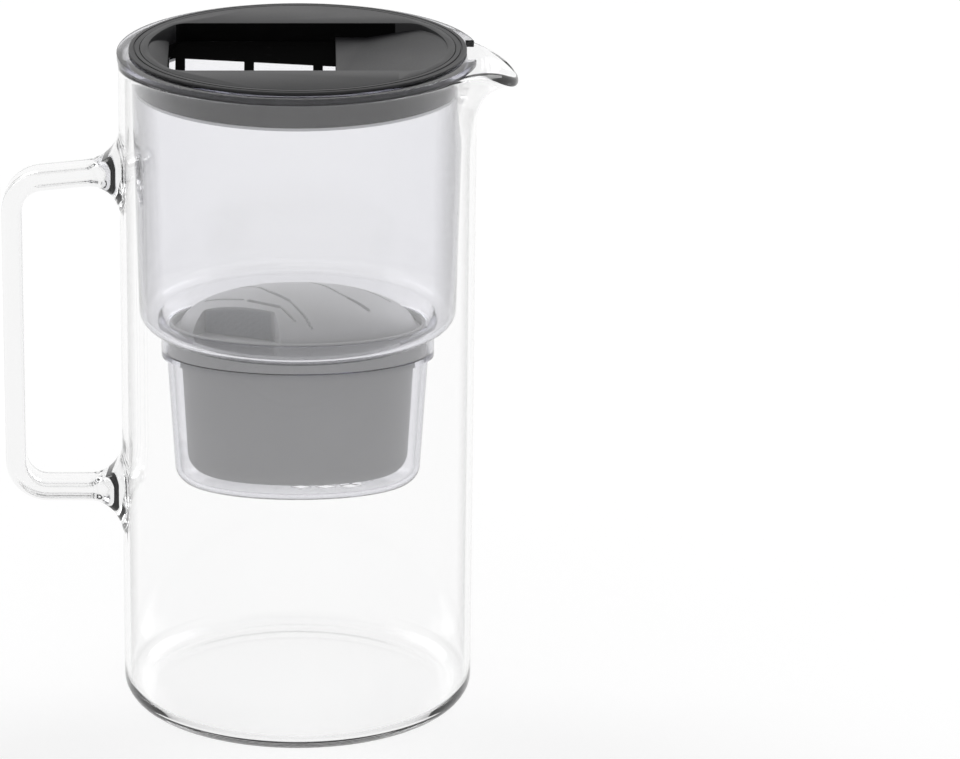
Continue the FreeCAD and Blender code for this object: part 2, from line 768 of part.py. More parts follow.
def screen_window(name, turned, inset, depth):
    """Block in the niche's back wall, under the vault, that a mesh panel fills."""
    back = -(dome_half_width - size.niche_depth)
    base = plate_top + size.niche_floor + size.dome_wall
    low = (-size.niche_end + size.screen_margin + inset, back, base + inset)
    high = (-size.niche_start - size.screen_margin - inset, back + depth, base + size.screen_height - inset)
    block = slanted_box(f"{name}_block", turned, low, high)
    return overlap(name, block, dome(f"{name}_limit", size.dome_wall + inset))


def cartridge_cap():
    """Vaulted cap that closes the cup inside its band, with a skirt that stands on the cup's ledge."""
    wall = size.dome_wall
    length = band_half_length - size.cup_wall - size.cap_clearance
    width = band_half_width - size.cup_wall - size.cap_clearance
    plate = make_tapered_oval("cap_plate", (length, width, ledge_top), (length, width, plate_top))
    outside = join("cap_outside", plate, dome("cap_vault", ZERO))
    inner = (length - wall, width - wall)
    skirt_space = make_tapered_oval("cap_skirt_space", (*inner, ledge_top - size.overrun), (*inner, plate_under))
    floor = plate_top + size.niche_floor
    niches = [niche(f"niche_{turned}", turned, ZERO, floor) for turned in (False, True)]
    behind = [niche(f"niche_wall_{turned}", turned, wall, plate_under) for turned in (False, True)]
    hollow = cut("cap_hollow", dome("cap_hollow_blank", wall), *behind)
    slits = [slit(f"slit_{turned}", turned) for turned in (False, True)]
    depth = wall + size.overrun
    windows = [screen_window(f"screen_window_{turned}", turned, ZERO, depth) for turned in (False, True)]
    return cut("cartridge_cap", outside, skirt_space, hollow, *niches, *slits, *windows)


def cartridge_inside():
    """Mesh, felts and media beds stacked in the cup under the cap."""
    mesh_low = cup_bottom + size.cup_wall
    mesh_high = mesh_low + size.mesh_thickness
    felt_high = mesh_high + size.felt_thickness
    carbon_high = plate_under - size.felt_thickness
    resin_high = carbon_high - size.carbon_depth
    corner = size.cup_corner_radius
    length, width, _ = cup_section(corner + size.media_clearance, mesh_low)
    mesh = make_tapered_oval("outlet_screen", (length, width, mesh_low), (length, width, mesh_high))
    felt = make_tapered_oval("lower_felt", (length, width, mesh_high), (length, width, felt_high))
    resin_low = cup_section(size.cup_wall + corner * HALF_SHARE, felt_high)
    inset = size.cup_wall + size.media_clearance
    resin = make_tapered_oval("resin_bed", resin_low, cup_section(inset, resin_high))
    length, width, _ = cup_section(inset, ledge_level)
    carbon = make_tapered_oval("carbon_bed", cup_section(inset, resin_high), (length, width, carbon_high))
    top_felt = make_tapered_oval("upper_felt", (length, width, carbon_high), (length, width, plate_under))
    return [mesh, felt, resin, carbon, top_felt]


# Lid

def lid_frame():
    """Outer ring of the lid, which rests on the hopper's flange, with the skirt that centres it."""
    body = new_body("lid_frame")
    inside = skirt_radius - size.skirt_wall
    low = flange_top - size.skirt_depth
    revolve(body, "frame_ring", (
        (inside, low), (skirt_radius, low), (skirt_radius, flange_top), (lid_radius, flange_top),
        (lid_radius, lid_top), (lid_split_radius, lid_top), (lid_split_radius, flange_top),
        (inside, flange_top)))
    return body


def lid_seal():
    """Ring under the skirt."""
    body = new_body("lid_seal")
    high = flange_top - size.skirt_depth
    low = high - size.seal_height
    outside = skirt_radius + size.seal_proud
    inside = skirt_radius - size.skirt_wall
    revolve(body, "seal_ring", ((inside, low), (outside, low), (outside, high), (inside, high)))
    return body


def barrel(name, half_width, end_radius, low, high, corner):
    """Block with straight long sides and ends that follow a circle, with round corners."""
    sides = make_box(f"{name}_sides", (-end_radius, -half_width, low), (end_radius, half_width, high))
    ends = make_cylinder(f"{name}_ends", end_radius, low, high)
    block = overlap(f"{name}_block", sides, ends)
    return round_solid(name, block, corner, upright_edges(low, high))


def tray_space():
    """Hollow of the fill tray: level floor, a ramp up towards the spout and a short slope at the back."""
    body = new_body("tray_outline")
    sketch = new_sketch(body, "tray_profile", "XZ_Plane")
    high = lid_top + size.overrun
    ramp_top = lid_top - size.tray_lip
    far = opening_end_radius + size.overrun
    draw_polygon(sketch, (
        (-far, high), (-far, ramp_top), (-opening_end_radius, ramp_top), (-back_slope_end, tray_floor),
        (size.ramp_start, tray_floor), (opening_end_radius, ramp_top), (far, ramp_top), (far, high)))
    pad(body, "tray_block", sketch, size.opening_half_width * 2 + size.overrun, symmetric=True)
    bounds = barrel("tray_bounds", size.opening_half_width, opening_end_radius, tray_under - size.overrun,
                    high, size.opening_corner_radius)
    return overlap("tray_space", body, bounds)


def hole_block(name, inset, low, high):
    """Upright block over the hole in the tray, as wide as the fill opening."""
    half_width = size.opening_half_width - inset
    end_radius = opening_end_radius - inset
    sides = barrel(f"{name}_barrel", half_width, end_radius, low, high, size.opening_corner_radius - inset)
    ends = make_box(f"{name}_ends", (inset - back_slope_end, -half_width, low),
                    (size.chute_near - inset, half_width, high))
    return overlap(name, sides, ends)


def lid_cover():
    """Top plate of the lid with the fill opening, its tray and the hole in the tray's floor."""
    plate = make_cylinder("cover_plate", lid_split_radius - size.lid_split_gap, flange_top, lid_top)
    wall = size.tray_wall
    tray = barrel("tray_blank", size.opening_half_width + wall, opening_end_radius + wall, tray_under,
                  flange_top, size.opening_corner_radius + wall)
    hole = hole_block("tray_hole", ZERO, tray_under - size.overrun, tray_floor + size.overrun)
    return cut("lid_cover", join("cover_blank", plate, tray), tray_space(), hole)


def chute_block(name, inset, low, high):
    """Block of the fill chute, outside or inside its wall, whose long sides lean in towards its foot."""
    lean = (size.opening_half_width - size.chute_foot_half_width) / size.chute_bottom
    foot = size.chute_foot_half_width - inset + (low - chute_low) * lean
    head = size.opening_half_width - inset + (high - tray_under) * lean
    reach = opening_end_radius + size.overrun
    lean_sides = part("Wedge", f"{name}_lean", Xmin=-reach, X2min=-reach, Xmax=reach, X2max=reach, Ymin=low,
                      Ymax=high, Zmin=-foot, Zmax=foot, Z2min=-head, Z2max=head)
    lean_sides.Placement.Rotation = FreeCAD.Rotation(FreeCAD.Vector(1, 0, 0), QUARTER_TURN)
    return overlap(name, hole_block(f"{name}_hole", inset, low, high), lean_sides)


def chute_windows():
    """Openings in the long sides of the chute, open at its foot, under a lintel that slopes to the spout."""
    reach = size.opening_half_width + size.tray_wall + size.overrun
    low = chute_low - size.overrun
    slab = make_box("window_slab", (ZERO - opening_end_radius, -reach, low),
                    (opening_end_radius, reach, chute_low + size.window_height))
    slab.Placement.Rotation = FreeCAD.Rotation(FreeCAD.Vector(0, 1, 0), size.window_slope.value)
    spans = []
    posts = size.window_post * (len(WINDOW_WIDTH_SHARES) - 1)
    open_length = back_slope_end + size.chute_near - posts
    start = -back_slope_end
    for index, share in enumerate(WINDOW_WIDTH_SHARES):
        end = start + open_length * share
        high = (end, reach, tray_under - size.tray_wall)
        spans.append(make_box(f"window_{index}", (start, -reach, low), high))
        start = end + size.window_post
    return overlap("chute_windows", slab, join("window_spans", *spans))


def fill_chute():
    """Funnel under the hole in the tray, with windows that let the water out to both sides."""
    outside = chute_block("chute_outside", -size.tray_wall, chute_low, tray_under)
    inside = chute_block("chute_inside", ZERO, chute_low - size.overrun, tray_under + size.overrun)
    return cut("fill_chute", outside, inside, chute_windows())


def check_document():
    """Stops if any object of the document failed."""
    for item in doc.Objects:
        if "Invalid" in item.State or "Error" in item.State:
            raise RuntimeError(f"{item.Name} failed: {item.State}")


def main():
    """Builds every piece, checks it and writes one file for each."""
    pieces = [carafe_glass(), carafe_handle(), hopper(), lid_frame(), lid_cover(), fill_chute(), lid_seal(),
              cartridge_cup(), cartridge_cap()]
    pieces.append(screen_window("inlet_screen_front", False, size.screen_clearance, size.screen_thickness))
    pieces.append(screen_window("inlet_screen_rear", True, size.screen_clearance, size.screen_thickness))
    pieces.extend(cartridge_inside())
    doc.recompute()
    check_document()
    os.makedirs("parts", exist_ok=True)
    for piece in pieces:
        shape = piece.Shape
        if shape.isNull() or not shape.isValid():
            raise RuntimeError(f"{piece.Label} has no valid shape")
        print(piece.Label, len(shape.Solids), round(shape.Volume), shape.BoundBox)
        shape.exportStep(f"parts/{piece.Label}.step")


main()
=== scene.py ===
"""Looks of a glass water filter pitcher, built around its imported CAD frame.

Sizes are in millimetres in the row's own frame: +Z up, +X towards the spout, the base on the floor.
"""

import json
import logging
import math
from collections.abc import Iterable, Sequence
from dataclasses import dataclass
from enum import Enum
from typing import ClassVar

import bmesh
import bpy
import numpy as np
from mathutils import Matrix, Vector

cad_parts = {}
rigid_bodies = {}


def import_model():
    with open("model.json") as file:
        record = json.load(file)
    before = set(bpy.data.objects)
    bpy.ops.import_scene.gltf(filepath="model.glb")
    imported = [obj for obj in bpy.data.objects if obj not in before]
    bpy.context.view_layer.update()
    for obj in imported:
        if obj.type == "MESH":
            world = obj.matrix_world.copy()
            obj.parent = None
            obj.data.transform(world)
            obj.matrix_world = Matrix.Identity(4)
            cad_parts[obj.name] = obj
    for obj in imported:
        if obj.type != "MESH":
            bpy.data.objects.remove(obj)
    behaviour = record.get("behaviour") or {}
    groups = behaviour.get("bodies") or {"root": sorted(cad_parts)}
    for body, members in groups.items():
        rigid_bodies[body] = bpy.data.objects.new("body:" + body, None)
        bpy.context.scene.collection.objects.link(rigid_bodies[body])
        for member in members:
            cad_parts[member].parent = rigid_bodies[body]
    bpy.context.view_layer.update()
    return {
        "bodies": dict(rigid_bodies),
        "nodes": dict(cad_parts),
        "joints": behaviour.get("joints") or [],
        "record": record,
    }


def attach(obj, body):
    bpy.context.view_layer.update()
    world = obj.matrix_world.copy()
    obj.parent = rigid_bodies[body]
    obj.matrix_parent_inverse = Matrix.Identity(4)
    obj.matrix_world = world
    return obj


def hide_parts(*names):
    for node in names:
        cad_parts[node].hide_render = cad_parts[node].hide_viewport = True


MM = 0.001
SHARP_ANGLE = 35.0  # degrees above which an edge counts as sharp
SOFT_SEGMENTS = 2  # faces across a rounded edge
MERGE_DISTANCE = 0.002  # between points that are one point
FLAT_ANGLE = 0.2  # degrees below which two faces are one face
CUT_DISTANCE = 0.001  # between a plane and the points that lie on it
OVERRUN = 5.0  # how far a cutting tool stands out of the piece
TOOL_WALLS = 4  # depth of a hole's cutting tool in walls
HEX_REACH = 0.5774  # a hexagon's corner radius over its width across flats
HEX_ROW = 0.866  # a honeycomb's row gap over its pitch

LOG = logging.getLogger("pitcher")

Point = Sequence[float]
Ring = list[Point]
Pair = tuple[float, float]
Size = tuple[float, float, float]  # half length, half width and height of a level oval
Wire = tuple[Point, Point, float]  # place, turn and length
Colour = tuple[float, float, float]


class Body(str, Enum):
    """Moving bodies of the CAD frame."""

    CARAFE = "carafe"
    HOPPER = "hopper"
    CARTRIDGE = "cartridge"
    LID = "lid"


class Slot(str, Enum):
    """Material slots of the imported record."""

    GLASS = "glass"
    TINTED = "tinted_plastic"
    BLACK = "black_plastic"
    SEAL = "seal"
    FILTER = "filter_plastic"
    MESH = "mesh"
    FELT = "felt"
    CARBON = "carbon"
    RESIN = "resin"


class PaintedShading(str, Enum):
    """Second finishes of a slot: a paler copy as painted light, a darker copy as painted shade."""

    PAINTED_LIGHT_VAULT = "pale_cap"
    PAINTED_SHADE_RECESS = "dark_recess"


class Carve(str, Enum):
    """Ways to join one solid to another."""

    CUT = "DIFFERENCE"
    FUSE = "UNION"


class Socket(str, Enum):
    """Kinds of socket on a node group."""

    NUMBER = "NodeSocketFloat"
    WHOLE = "NodeSocketInt"
    SHAPE = "NodeSocketGeometry"
    MATERIAL = "NodeSocketMaterial"


def clamp(value: float) -> float:
    """Keeps a value between zero and one."""
    return min(max(value, 0.0), 1.0)


def grey(level: float) -> Colour:
    """Gives an even grey."""
    return level, level, level


# Node trees

class Nodes:
    """Adds nodes to a node tree, sets their sockets and links them."""

    def __init__(self, tree: bpy.types.NodeTree) -> None:
        """Keeps the tree that the nodes go into."""
        self.tree = tree

    def add(self, kind: str, sockets: dict[str, object] | None = None, **settings: object) -> bpy.types.Node:
        """Adds a node.

        Args:
            kind: The node's type name.
            sockets: Values or source sockets for its inputs, by input name.
            settings: Properties of the node itself.

        Returns:
            The new node.
        """
        node = self.tree.nodes.new(kind)
        for name, value in settings.items():
            setattr(node, name, value)
        for name, value in (sockets or {}).items():
            self.feed(node, name, value)
        return node

    def plug(self, target: bpy.types.NodeSocket, value: object) -> None:
        """Links a source to an input, or sets the input's own value.

        Args:
            target: The input.
            value: A source socket or a value.
        """
        if isinstance(value, bpy.types.NodeSocket):
            self.tree.links.new(value, target)
        else:
            target.default_value = value

    def feed(self, node: bpy.types.Node, name: str, value: object) -> None:
        """Plugs a source or a value into the node's first usable input of that name."""
        self.plug(next(item for item in node.inputs if item.name == name and item.enabled), value)

    def out(self, node: bpy.types.Node, name: str | None = None) -> bpy.types.NodeSocket:
        """Gives the node's first usable output, or the first of that name."""
        return next(item for item in node.outputs if item.enabled and name in (None, item.name))

    def place(self) -> bpy.types.NodeSocket:
        """Gives the place on the object."""
        return self.out(self.add("ShaderNodeTexCoord"), "Object")

    def math(self, operation: str, first: object, second: object) -> bpy.types.NodeSocket:
        """Adds a sum of two values.

        Args:
            operation: The kind of sum.
            first: A source socket or a value.
            second: Another one.

        Returns:
            The result.
        """
        node = self.add("ShaderNodeMath", operation=operation)
        for target, value in zip(node.inputs, (first, second)):
            self.plug(target, value)
        return node.outputs[0]

    def ramp(self, factor: bpy.types.NodeSocket,
             stops: tuple[tuple[float, Colour], tuple[float, Colour]]) -> bpy.types.NodeSocket:
        """Adds a colour ramp.

        Args:
            factor: The value that runs along the ramp.
            stops: Place and colour of both stops.

        Returns:
            The ramp's colour output.
        """
        node = self.add("ShaderNodeValToRGB", {"Fac": factor})
        for element, (place, colour) in zip(node.color_ramp.elements, stops):
            element.position = place
            element.color = (*colour, 1.0)
        return node.outputs["Color"]


class Group(Nodes):
    """Nodes of a node group, which already holds its input and output nodes."""

    def __init__(self, name: str, kind: str, inputs: dict[str, Socket], outputs: dict[str, Socket]) -> None:
        """Makes the group with named sockets.

        Args:
            name: The group's name.
            kind: The tree's type name.
            inputs: Kind of each input.
            outputs: Kind of each output.
        """
        super().__init__(bpy.data.node_groups.new(name, kind))
        for way, sockets in (("INPUT", inputs), ("OUTPUT", outputs)):
            for label, socket in sockets.items():
                self.tree.interface.new_socket(label, in_out=way, socket_type=socket.value)
        self.source = self.add("NodeGroupInput").outputs
        self.sink = self.add("NodeGroupOutput")


@dataclass(frozen=True)
class MouldGrain:
    """Fine grain and faint clouding of moulded pieces, an effect that several finishes share."""

    fine_detail: float = 3.0
    cloud_detail: float = 4.0
    cloud_scale: float = 30.0
    fine_share: float = 0.4
    cloud_share: float = 0.6
    noise_low: float = 0.35
    noise_high: float = 0.65

    def make(self) -> bpy.types.NodeTree:
        """Builds the effect.

        Returns:
            A group with Roughness, Tone and Height outputs.
        """
        number = Socket.NUMBER
        nodes = Group("mould_grain", "ShaderNodeTree",
                      {"Grain Scale": number, "Low Roughness": number, "High Roughness": number},
                      {"Roughness": number, "Tone": number, "Height": number})
        place = nodes.place()
        fine = nodes.add("ShaderNodeTexNoise", {
            "Vector": place, "Scale": nodes.source["Grain Scale"], "Detail": self.fine_detail})
        cloud = nodes.add("ShaderNodeTexNoise", {
            "Vector": place, "Scale": self.cloud_scale, "Detail": self.cloud_detail})
        mixed = nodes.math("ADD", nodes.math("MULTIPLY", fine.outputs["Fac"], self.fine_share),
                           nodes.math("MULTIPLY", cloud.outputs["Fac"], self.cloud_share))
        spread = nodes.add("ShaderNodeMapRange", {
            "Value": mixed, "From Min": self.noise_low, "From Max": self.noise_high,
            "To Min": nodes.source["Low Roughness"], "To Max": nodes.source["High Roughness"]})
        nodes.feed(nodes.sink, "Roughness", spread.outputs["Result"])
        nodes.feed(nodes.sink, "Tone", cloud.outputs["Fac"])
        nodes.feed(nodes.sink, "Height", fine.outputs["Fac"])
        return nodes.tree


# Finishes

class Finish:
    """Base of every finish: a material with its own node tree."""

    name: str

    def surface(self, nodes: Nodes, grain: bpy.types.NodeTree) -> dict[str, bpy.types.NodeSocket]:
        """Builds the finish's own nodes, in each finish's own way.

        Args:
            nodes: The material's nodes.
            grain: The shared grain group.

        Returns:
            What goes into the material's output, by input name.
        """
        raise NotImplementedError

    def make(self, grain: bpy.types.NodeTree) -> bpy.types.Material:
        """Makes the material.

        Args:
            grain: The shared grain group.

        Returns:
            The finished material.
        """
        material = bpy.data.materials.new(self.name)
        material.use_nodes = True
        material.node_tree.nodes.clear()
        nodes = Nodes(material.node_tree)
        nodes.add("ShaderNodeOutputMaterial", self.surface(nodes, grain))
        return material


@dataclass(frozen=True)
class ClearFinish(Finish):
    """Clear glass or plastic that lets light straight through and tints what is seen through its depth.

    Faces seen edge-on are painted dark: painted shade that stands in for the dark outlines which reflection
    and refraction draw at the edges, applied only nearer the axis than the edge distance and higher than the
    edge height.
    """

    name: str
    painted_edge_shade: Colour
    painted_edge_start: float
    painted_edge_within: float
    painted_edge_above: float
    depth_colour: Colour
    depth_density: float
    ior: float
    face_colour: Colour = grey(0.995)

    def surface(self, nodes: Nodes, grain: bpy.types.NodeTree) -> dict[str, bpy.types.NodeSocket]:
        """Builds clear faces with painted dark edges, and the depth behind them.

        Args:
            nodes: The material's nodes.
            grain: The shared grain group, which a clear piece doesn't show.

        Returns:
            What goes into the material's output, by input name.
        """
        facing = nodes.add("ShaderNodeLayerWeight").outputs["Facing"]
        x, y, z = nodes.add("ShaderNodeSeparateXYZ", {"Vector": nodes.place()}).outputs
        across = nodes.math("ADD", nodes.math("MULTIPLY", x, x), nodes.math("MULTIPLY", y, y))
        within = nodes.math("MULTIPLY", nodes.math("LESS_THAN", across, (self.painted_edge_within * MM) ** 2),
                            nodes.math("GREATER_THAN", z, self.painted_edge_above * MM))
        # painted shade: edge-on faces in the masked zone fade from the clear face colour to the near-black
        # edge colour
        colour = nodes.ramp(nodes.math("MULTIPLY", facing, within),
                            ((self.painted_edge_start, self.face_colour), (1.0, self.painted_edge_shade)))
        clear = nodes.add("ShaderNodeBsdfPrincipled", {
            "Base Color": colour, "Roughness": 0.0, "IOR": self.ior, "Transmission Weight": 1.0})
        through = nodes.add("ShaderNodeBsdfTransparent")
        path = nodes.add("ShaderNodeLightPath").outputs
        light = nodes.math("MAXIMUM", path["Is Shadow Ray"], path["Is Diffuse Ray"])
        mix = nodes.add("ShaderNodeMixShader")
        for target, source in zip(mix.inputs, (light, clear.outputs[0], through.outputs[0])):
            nodes.plug(target, source)
        depth = nodes.add("ShaderNodeVolumeAbsorption", {
            "Color": (*self.depth_colour, 1.0), "Density": self.depth_density})
        return {"Surface": mix.outputs[0], "Volume": depth.outputs[0]}


@dataclass(frozen=True)
class MouldedFinish(Finish):
    """Moulded plastic or rubber with a fine grain."""

    name: str
    dark: Colour
    light: Colour
    low_roughness: float
    high_roughness: float
    grain_scale: float
    grain_depth: float
    specular: float = 0.5
    bump_strength: float = 0.5
    dark_place: float = 0.3
    light_place: float = 0.7

    def surface(self, nodes: Nodes, grain: bpy.types.NodeTree) -> dict[str, bpy.types.NodeSocket]:
        """Builds a grained face with clouded tone and roughness.

        Args:
            nodes: The material's nodes.
            grain: The shared grain group.

        Returns:
            What goes into the material's output, by input name.
        """
        grained = nodes.add("ShaderNodeGroup", node_tree=grain)
        for name, value in (("Grain Scale", self.grain_scale), ("Low Roughness", self.low_roughness),
                            ("High Roughness", self.high_roughness)):
            nodes.feed(grained, name, value)
        bump = nodes.add("ShaderNodeBump", {
            "Strength": self.bump_strength, "Distance": self.grain_depth * MM,
            "Height": grained.outputs["Height"]})
        colour = nodes.ramp(grained.outputs["Tone"],
                            ((self.dark_place, self.dark), (self.light_place, self.light)))
        shader = nodes.add("ShaderNodeBsdfPrincipled", {
            "Base Color": colour, "Roughness": grained.outputs["Roughness"],
            "Normal": bump.outputs["Normal"], "Specular IOR Level": self.specular})
        return {"Surface": shader.outputs[0]}


@dataclass(frozen=True)
class GranularFinish(Finish):
    """Grains, beads or fibres whose tone changes from one to the next."""

    name: str
    dark: Colour
    light: Colour
    cell_scale: float
    roughness: float
    coat: float
    grains_per_cell: float = 2.0
    bump_strength: float = 0.4
    bump_depth: float = 0.2

    def surface(self, nodes: Nodes, grain: bpy.types.NodeTree) -> dict[str, bpy.types.NodeSocket]:
        """Builds a grained face whose tone steps from cell to cell.

        Args:
            nodes: The material's nodes.
            grain: The shared grain group.

        Returns:
            What goes into the material's output, by input name.
        """
        cells = nodes.add("ShaderNodeTexVoronoi", {"Vector": nodes.place(), "Scale": self.cell_scale})
        grained = nodes.add("ShaderNodeGroup", node_tree=grain)
        nodes.feed(grained, "Grain Scale", self.cell_scale * self.grains_per_cell)
        bump = nodes.add("ShaderNodeBump", {
            "Strength": self.bump_strength, "Distance": self.bump_depth * MM,
            "Height": grained.outputs["Height"]})
        tone = nodes.add("ShaderNodeSeparateColor", {"Color": cells.outputs["Color"]})
        colour = nodes.ramp(tone.outputs[0], ((0.0, self.dark), (1.0, self.light)))
        shader = nodes.add("ShaderNodeBsdfPrincipled", {
            "Base Color": colour, "Roughness": self.roughness, "Coat Weight": self.coat,
            "Normal": bump.outputs["Normal"]})
        return {"Surface": shader.outputs[0]}


FINISHES: dict[Slot | PaintedShading, Finish] = {
    # the edge colours of the clear finishes are painted shade for the dark outlines at the edges of glass
    # and clear plastic
    Slot.GLASS: ClearFinish(
        "clear_glass", painted_edge_shade=grey(0.02), painted_edge_start=0.7, painted_edge_within=67.5, painted_edge_above=14.0,
        depth_colour=grey(0.0), depth_density=5.0, ior=1.47),
    Slot.TINTED: ClearFinish(
        "tinted_clear_plastic", painted_edge_shade=(0.05, 0.05, 0.053), painted_edge_start=0.5, painted_edge_within=100.0,
        painted_edge_above=0.0, depth_colour=(0.0, 0.0, 0.22), depth_density=41.0, ior=1.45),
    Slot.BLACK: MouldedFinish(
        "black_lid_plastic", dark=(0.007, 0.007, 0.008), light=(0.010, 0.010, 0.011), low_roughness=0.42,
        high_roughness=0.5, grain_scale=1600.0, grain_depth=0.004, specular=0.3),
    # painted shade: a darker, duller copy of the black plastic for the walls of the lid's fill opening and
    # its chute
    PaintedShading.PAINTED_SHADE_RECESS: MouldedFinish(
        "painted_shade_black_plastic", dark=grey(0.001), light=grey(0.002), low_roughness=0.7,
        high_roughness=0.8, grain_scale=1600.0, grain_depth=0.004, specular=0.04),
    Slot.FILTER: MouldedFinish(
        "grey_filter_plastic", dark=(0.43, 0.43, 0.425), light=(0.45, 0.45, 0.445), low_roughness=0.45,
        high_roughness=0.55, grain_scale=1400.0, grain_depth=0.001),
    # painted light: a paler copy of the filter plastic for the cap, standing in for light falling on its top
    PaintedShading.PAINTED_LIGHT_VAULT: MouldedFinish(
        "painted_light_cap_plastic", dark=(0.61, 0.61, 0.605), light=(0.64, 0.64, 0.635), low_roughness=0.45,
        high_roughness=0.55, grain_scale=1400.0, grain_depth=0.001),
    Slot.SEAL: MouldedFinish(
        "pale_seal_rubber", dark=(0.74, 0.74, 0.75), light=(0.82, 0.82, 0.83), low_roughness=0.45,
        high_roughness=0.6, grain_scale=900.0, grain_depth=0.02),
    Slot.MESH: MouldedFinish(
        "pale_screen_weave", dark=(0.50, 0.51, 0.52), light=(0.55, 0.56, 0.57), low_roughness=0.5,
        high_roughness=0.65, grain_scale=1100.0, grain_depth=0.01),
    Slot.FELT: GranularFinish(
        "white_filter_felt", dark=(0.70, 0.69, 0.66), light=(0.86, 0.85, 0.83), cell_scale=2600.0,
        roughness=0.95, coat=0.0),
    Slot.CARBON: GranularFinish(
        "carbon_grain", dark=grey(0.012), light=(0.045, 0.045, 0.047), cell_scale=900.0,
        roughness=0.7, coat=0.0),
    Slot.RESIN: GranularFinish(
        "amber_resin_bead", dark=(0.55, 0.36, 0.12), light=(0.72, 0.50, 0.20), cell_scale=900.0,
        roughness=0.3, coat=0.6),
}


# Meshes

def oval(length: float, width: float, level: float, count: int) -> Ring:
    """Gives the points of a level oval.

    Args:
        length: Half length along X.
        width: Half width along Y.
        level: Height.
        count: How many points.

    Returns:
        The points, anticlockwise from above.
    """
    angles = (2 * math.pi * index / count for index in range(count))
    return [(length * math.cos(angle), width * math.sin(angle), level) for angle in angles]


def arc(across: float, level: float, radius: float, start: float, end: float, steps: int) -> list[Pair]:
    """Gives points on an arc in a profile.

    Args:
        across: The centre's distance from the axis.
        level: The centre's height.
        radius: The arc's radius.
        start: First angle in degrees, from the outward direction upwards.
        end: Last angle in degrees.
        steps: How many steps between them.

    Returns:
        Pairs of distance and height.
    """
    angles = (math.radians(start + (end - start) * step / steps) for step in range(steps + 1))
    return [(across + radius * math.cos(angle), level + radius * math.sin(angle)) for angle in angles]


def link_piece(name: str, mesh: bpy.types.Mesh) -> bpy.types.Object:
    """Puts a mesh into the scene.

    Args:
        name: The object's name.
        mesh: Its mesh.

    Returns:
        The object, at the origin.
    """
    piece = bpy.data.objects.new(name, mesh)
    bpy.context.scene.collection.objects.link(piece)
    return piece


def make_piece(name: str, points: Iterable[Point], faces: Iterable[Sequence[int]]) -> bpy.types.Object:
    """Makes a mesh object from points in millimetres.

    Args:
        name: The object's name.
        points: The mesh's points.
        faces: Point numbers of each face.

    Returns:
        The object, at the origin, with its faces turned outwards.
    """
    mesh = bpy.data.meshes.new(name)
    mesh.from_pydata([Vector(point) * MM for point in points], [], list(faces))
    work = bmesh.new()
    work.from_mesh(mesh)
    bmesh.ops.recalc_face_normals(work, faces=work.faces)
    work.to_mesh(mesh)
    work.free()
    return link_piece(name, mesh)


def skin(name: str, rings: Sequence[Ring], poles: tuple[Point, Point] | None = None) -> bpy.types.Object:
    """Joins rings of equal length into a closed mesh.

    Args:
        name: The object's name.
        rings: The rings in order.
        poles: First and last point that close the ends, or None where the last ring joins the first.

    Returns:
        The object.
    """
    count = len(rings[0])
    points = [point for ring in rings for point in ring]
    faces: list[tuple[int, ...]] = []
    last = len(rings) if poles is None else len(rings) - 1
    for row in range(last):
        low, high = row * count, (row + 1) % len(rings) * count
        for index in range(count):
            after = (index + 1) % count
            faces.append((low + index, low + after, high + after, high + index))
    if poles is not None:
        for pole, start in zip(poles, (0, (len(rings) - 1) * count)):
            centre = len(points)
            points.append(pole)
            faces.extend((centre, start + (index + 1) % count, start + index) for index in range(count))
    return make_piece(name, points, faces)


def lathe(name: str, profile: Sequence[Pair], count: int) -> bpy.types.Object:
    """Turns a closed profile of radius and height round the Z axis, in a count of steps."""
    return skin(name, [oval(radius, radius, level, count) for radius, level in profile])


def prism(name: str, outline: Sequence[Pair], low: float, high: float) -> bpy.types.Object:
    """Makes an upright prism, as a tool for carving.

    Args:
        name: The object's name.
        outline: Its corners from above.
        low: Height of its underside.
        high: Height of its top.

    Returns:
        The object.
    """
    count = len(outline)
    points = [(x, y, level) for level in (low, high) for x, y in outline]
    sides = [(i, (i + 1) % count, count + (i + 1) % count, count + i) for i in range(count)]
    return make_piece(name, points, [tuple(range(count)), tuple(range(count, 2 * count)), *sides])


def bake(piece: bpy.types.Object) -> bpy.types.Object:
    """Turns a piece and its modifiers into a plain mesh.

    Args:
        piece: The object.

    Returns:
        The same object.
    """
    graph = bpy.context.evaluated_depsgraph_get()
    mesh = bpy.data.meshes.new_from_object(piece.evaluated_get(graph))
    piece.modifiers.clear()
    old, piece.data = piece.data, mesh
    bpy.data.meshes.remove(old)
    mesh.name = piece.name
    return piece


def carve(piece: bpy.types.Object, tool: bpy.types.Object, how: Carve = Carve.CUT) -> bpy.types.Object:
    """Cuts one solid from another or fuses them, and removes the tool.

    Args:
        piece: The solid that stays.
        tool: The other solid.
        how: Whether to cut or to fuse.

    Returns:
        The piece.
    """
    modifier = piece.modifiers.new("carve", "BOOLEAN")
    modifier.operation = how.value
    modifier.solver = "EXACT"
    modifier.object = tool
    bake(piece)
    bpy.data.objects.remove(tool)
    return piece


def soften(piece: bpy.types.Object, width: float) -> bpy.types.Object:
    """Rounds a piece's sharp edges.

    Args:
        piece: The object.
        width: How wide the rounding is.

    Returns:
        The same object.
    """
    modifier = piece.modifiers.new("soften", "BEVEL")
    modifier.width = width * MM
    modifier.segments = SOFT_SEGMENTS
    modifier.limit_method = "ANGLE"
    modifier.angle_limit = math.radians(SHARP_ANGLE)
    return bake(piece)


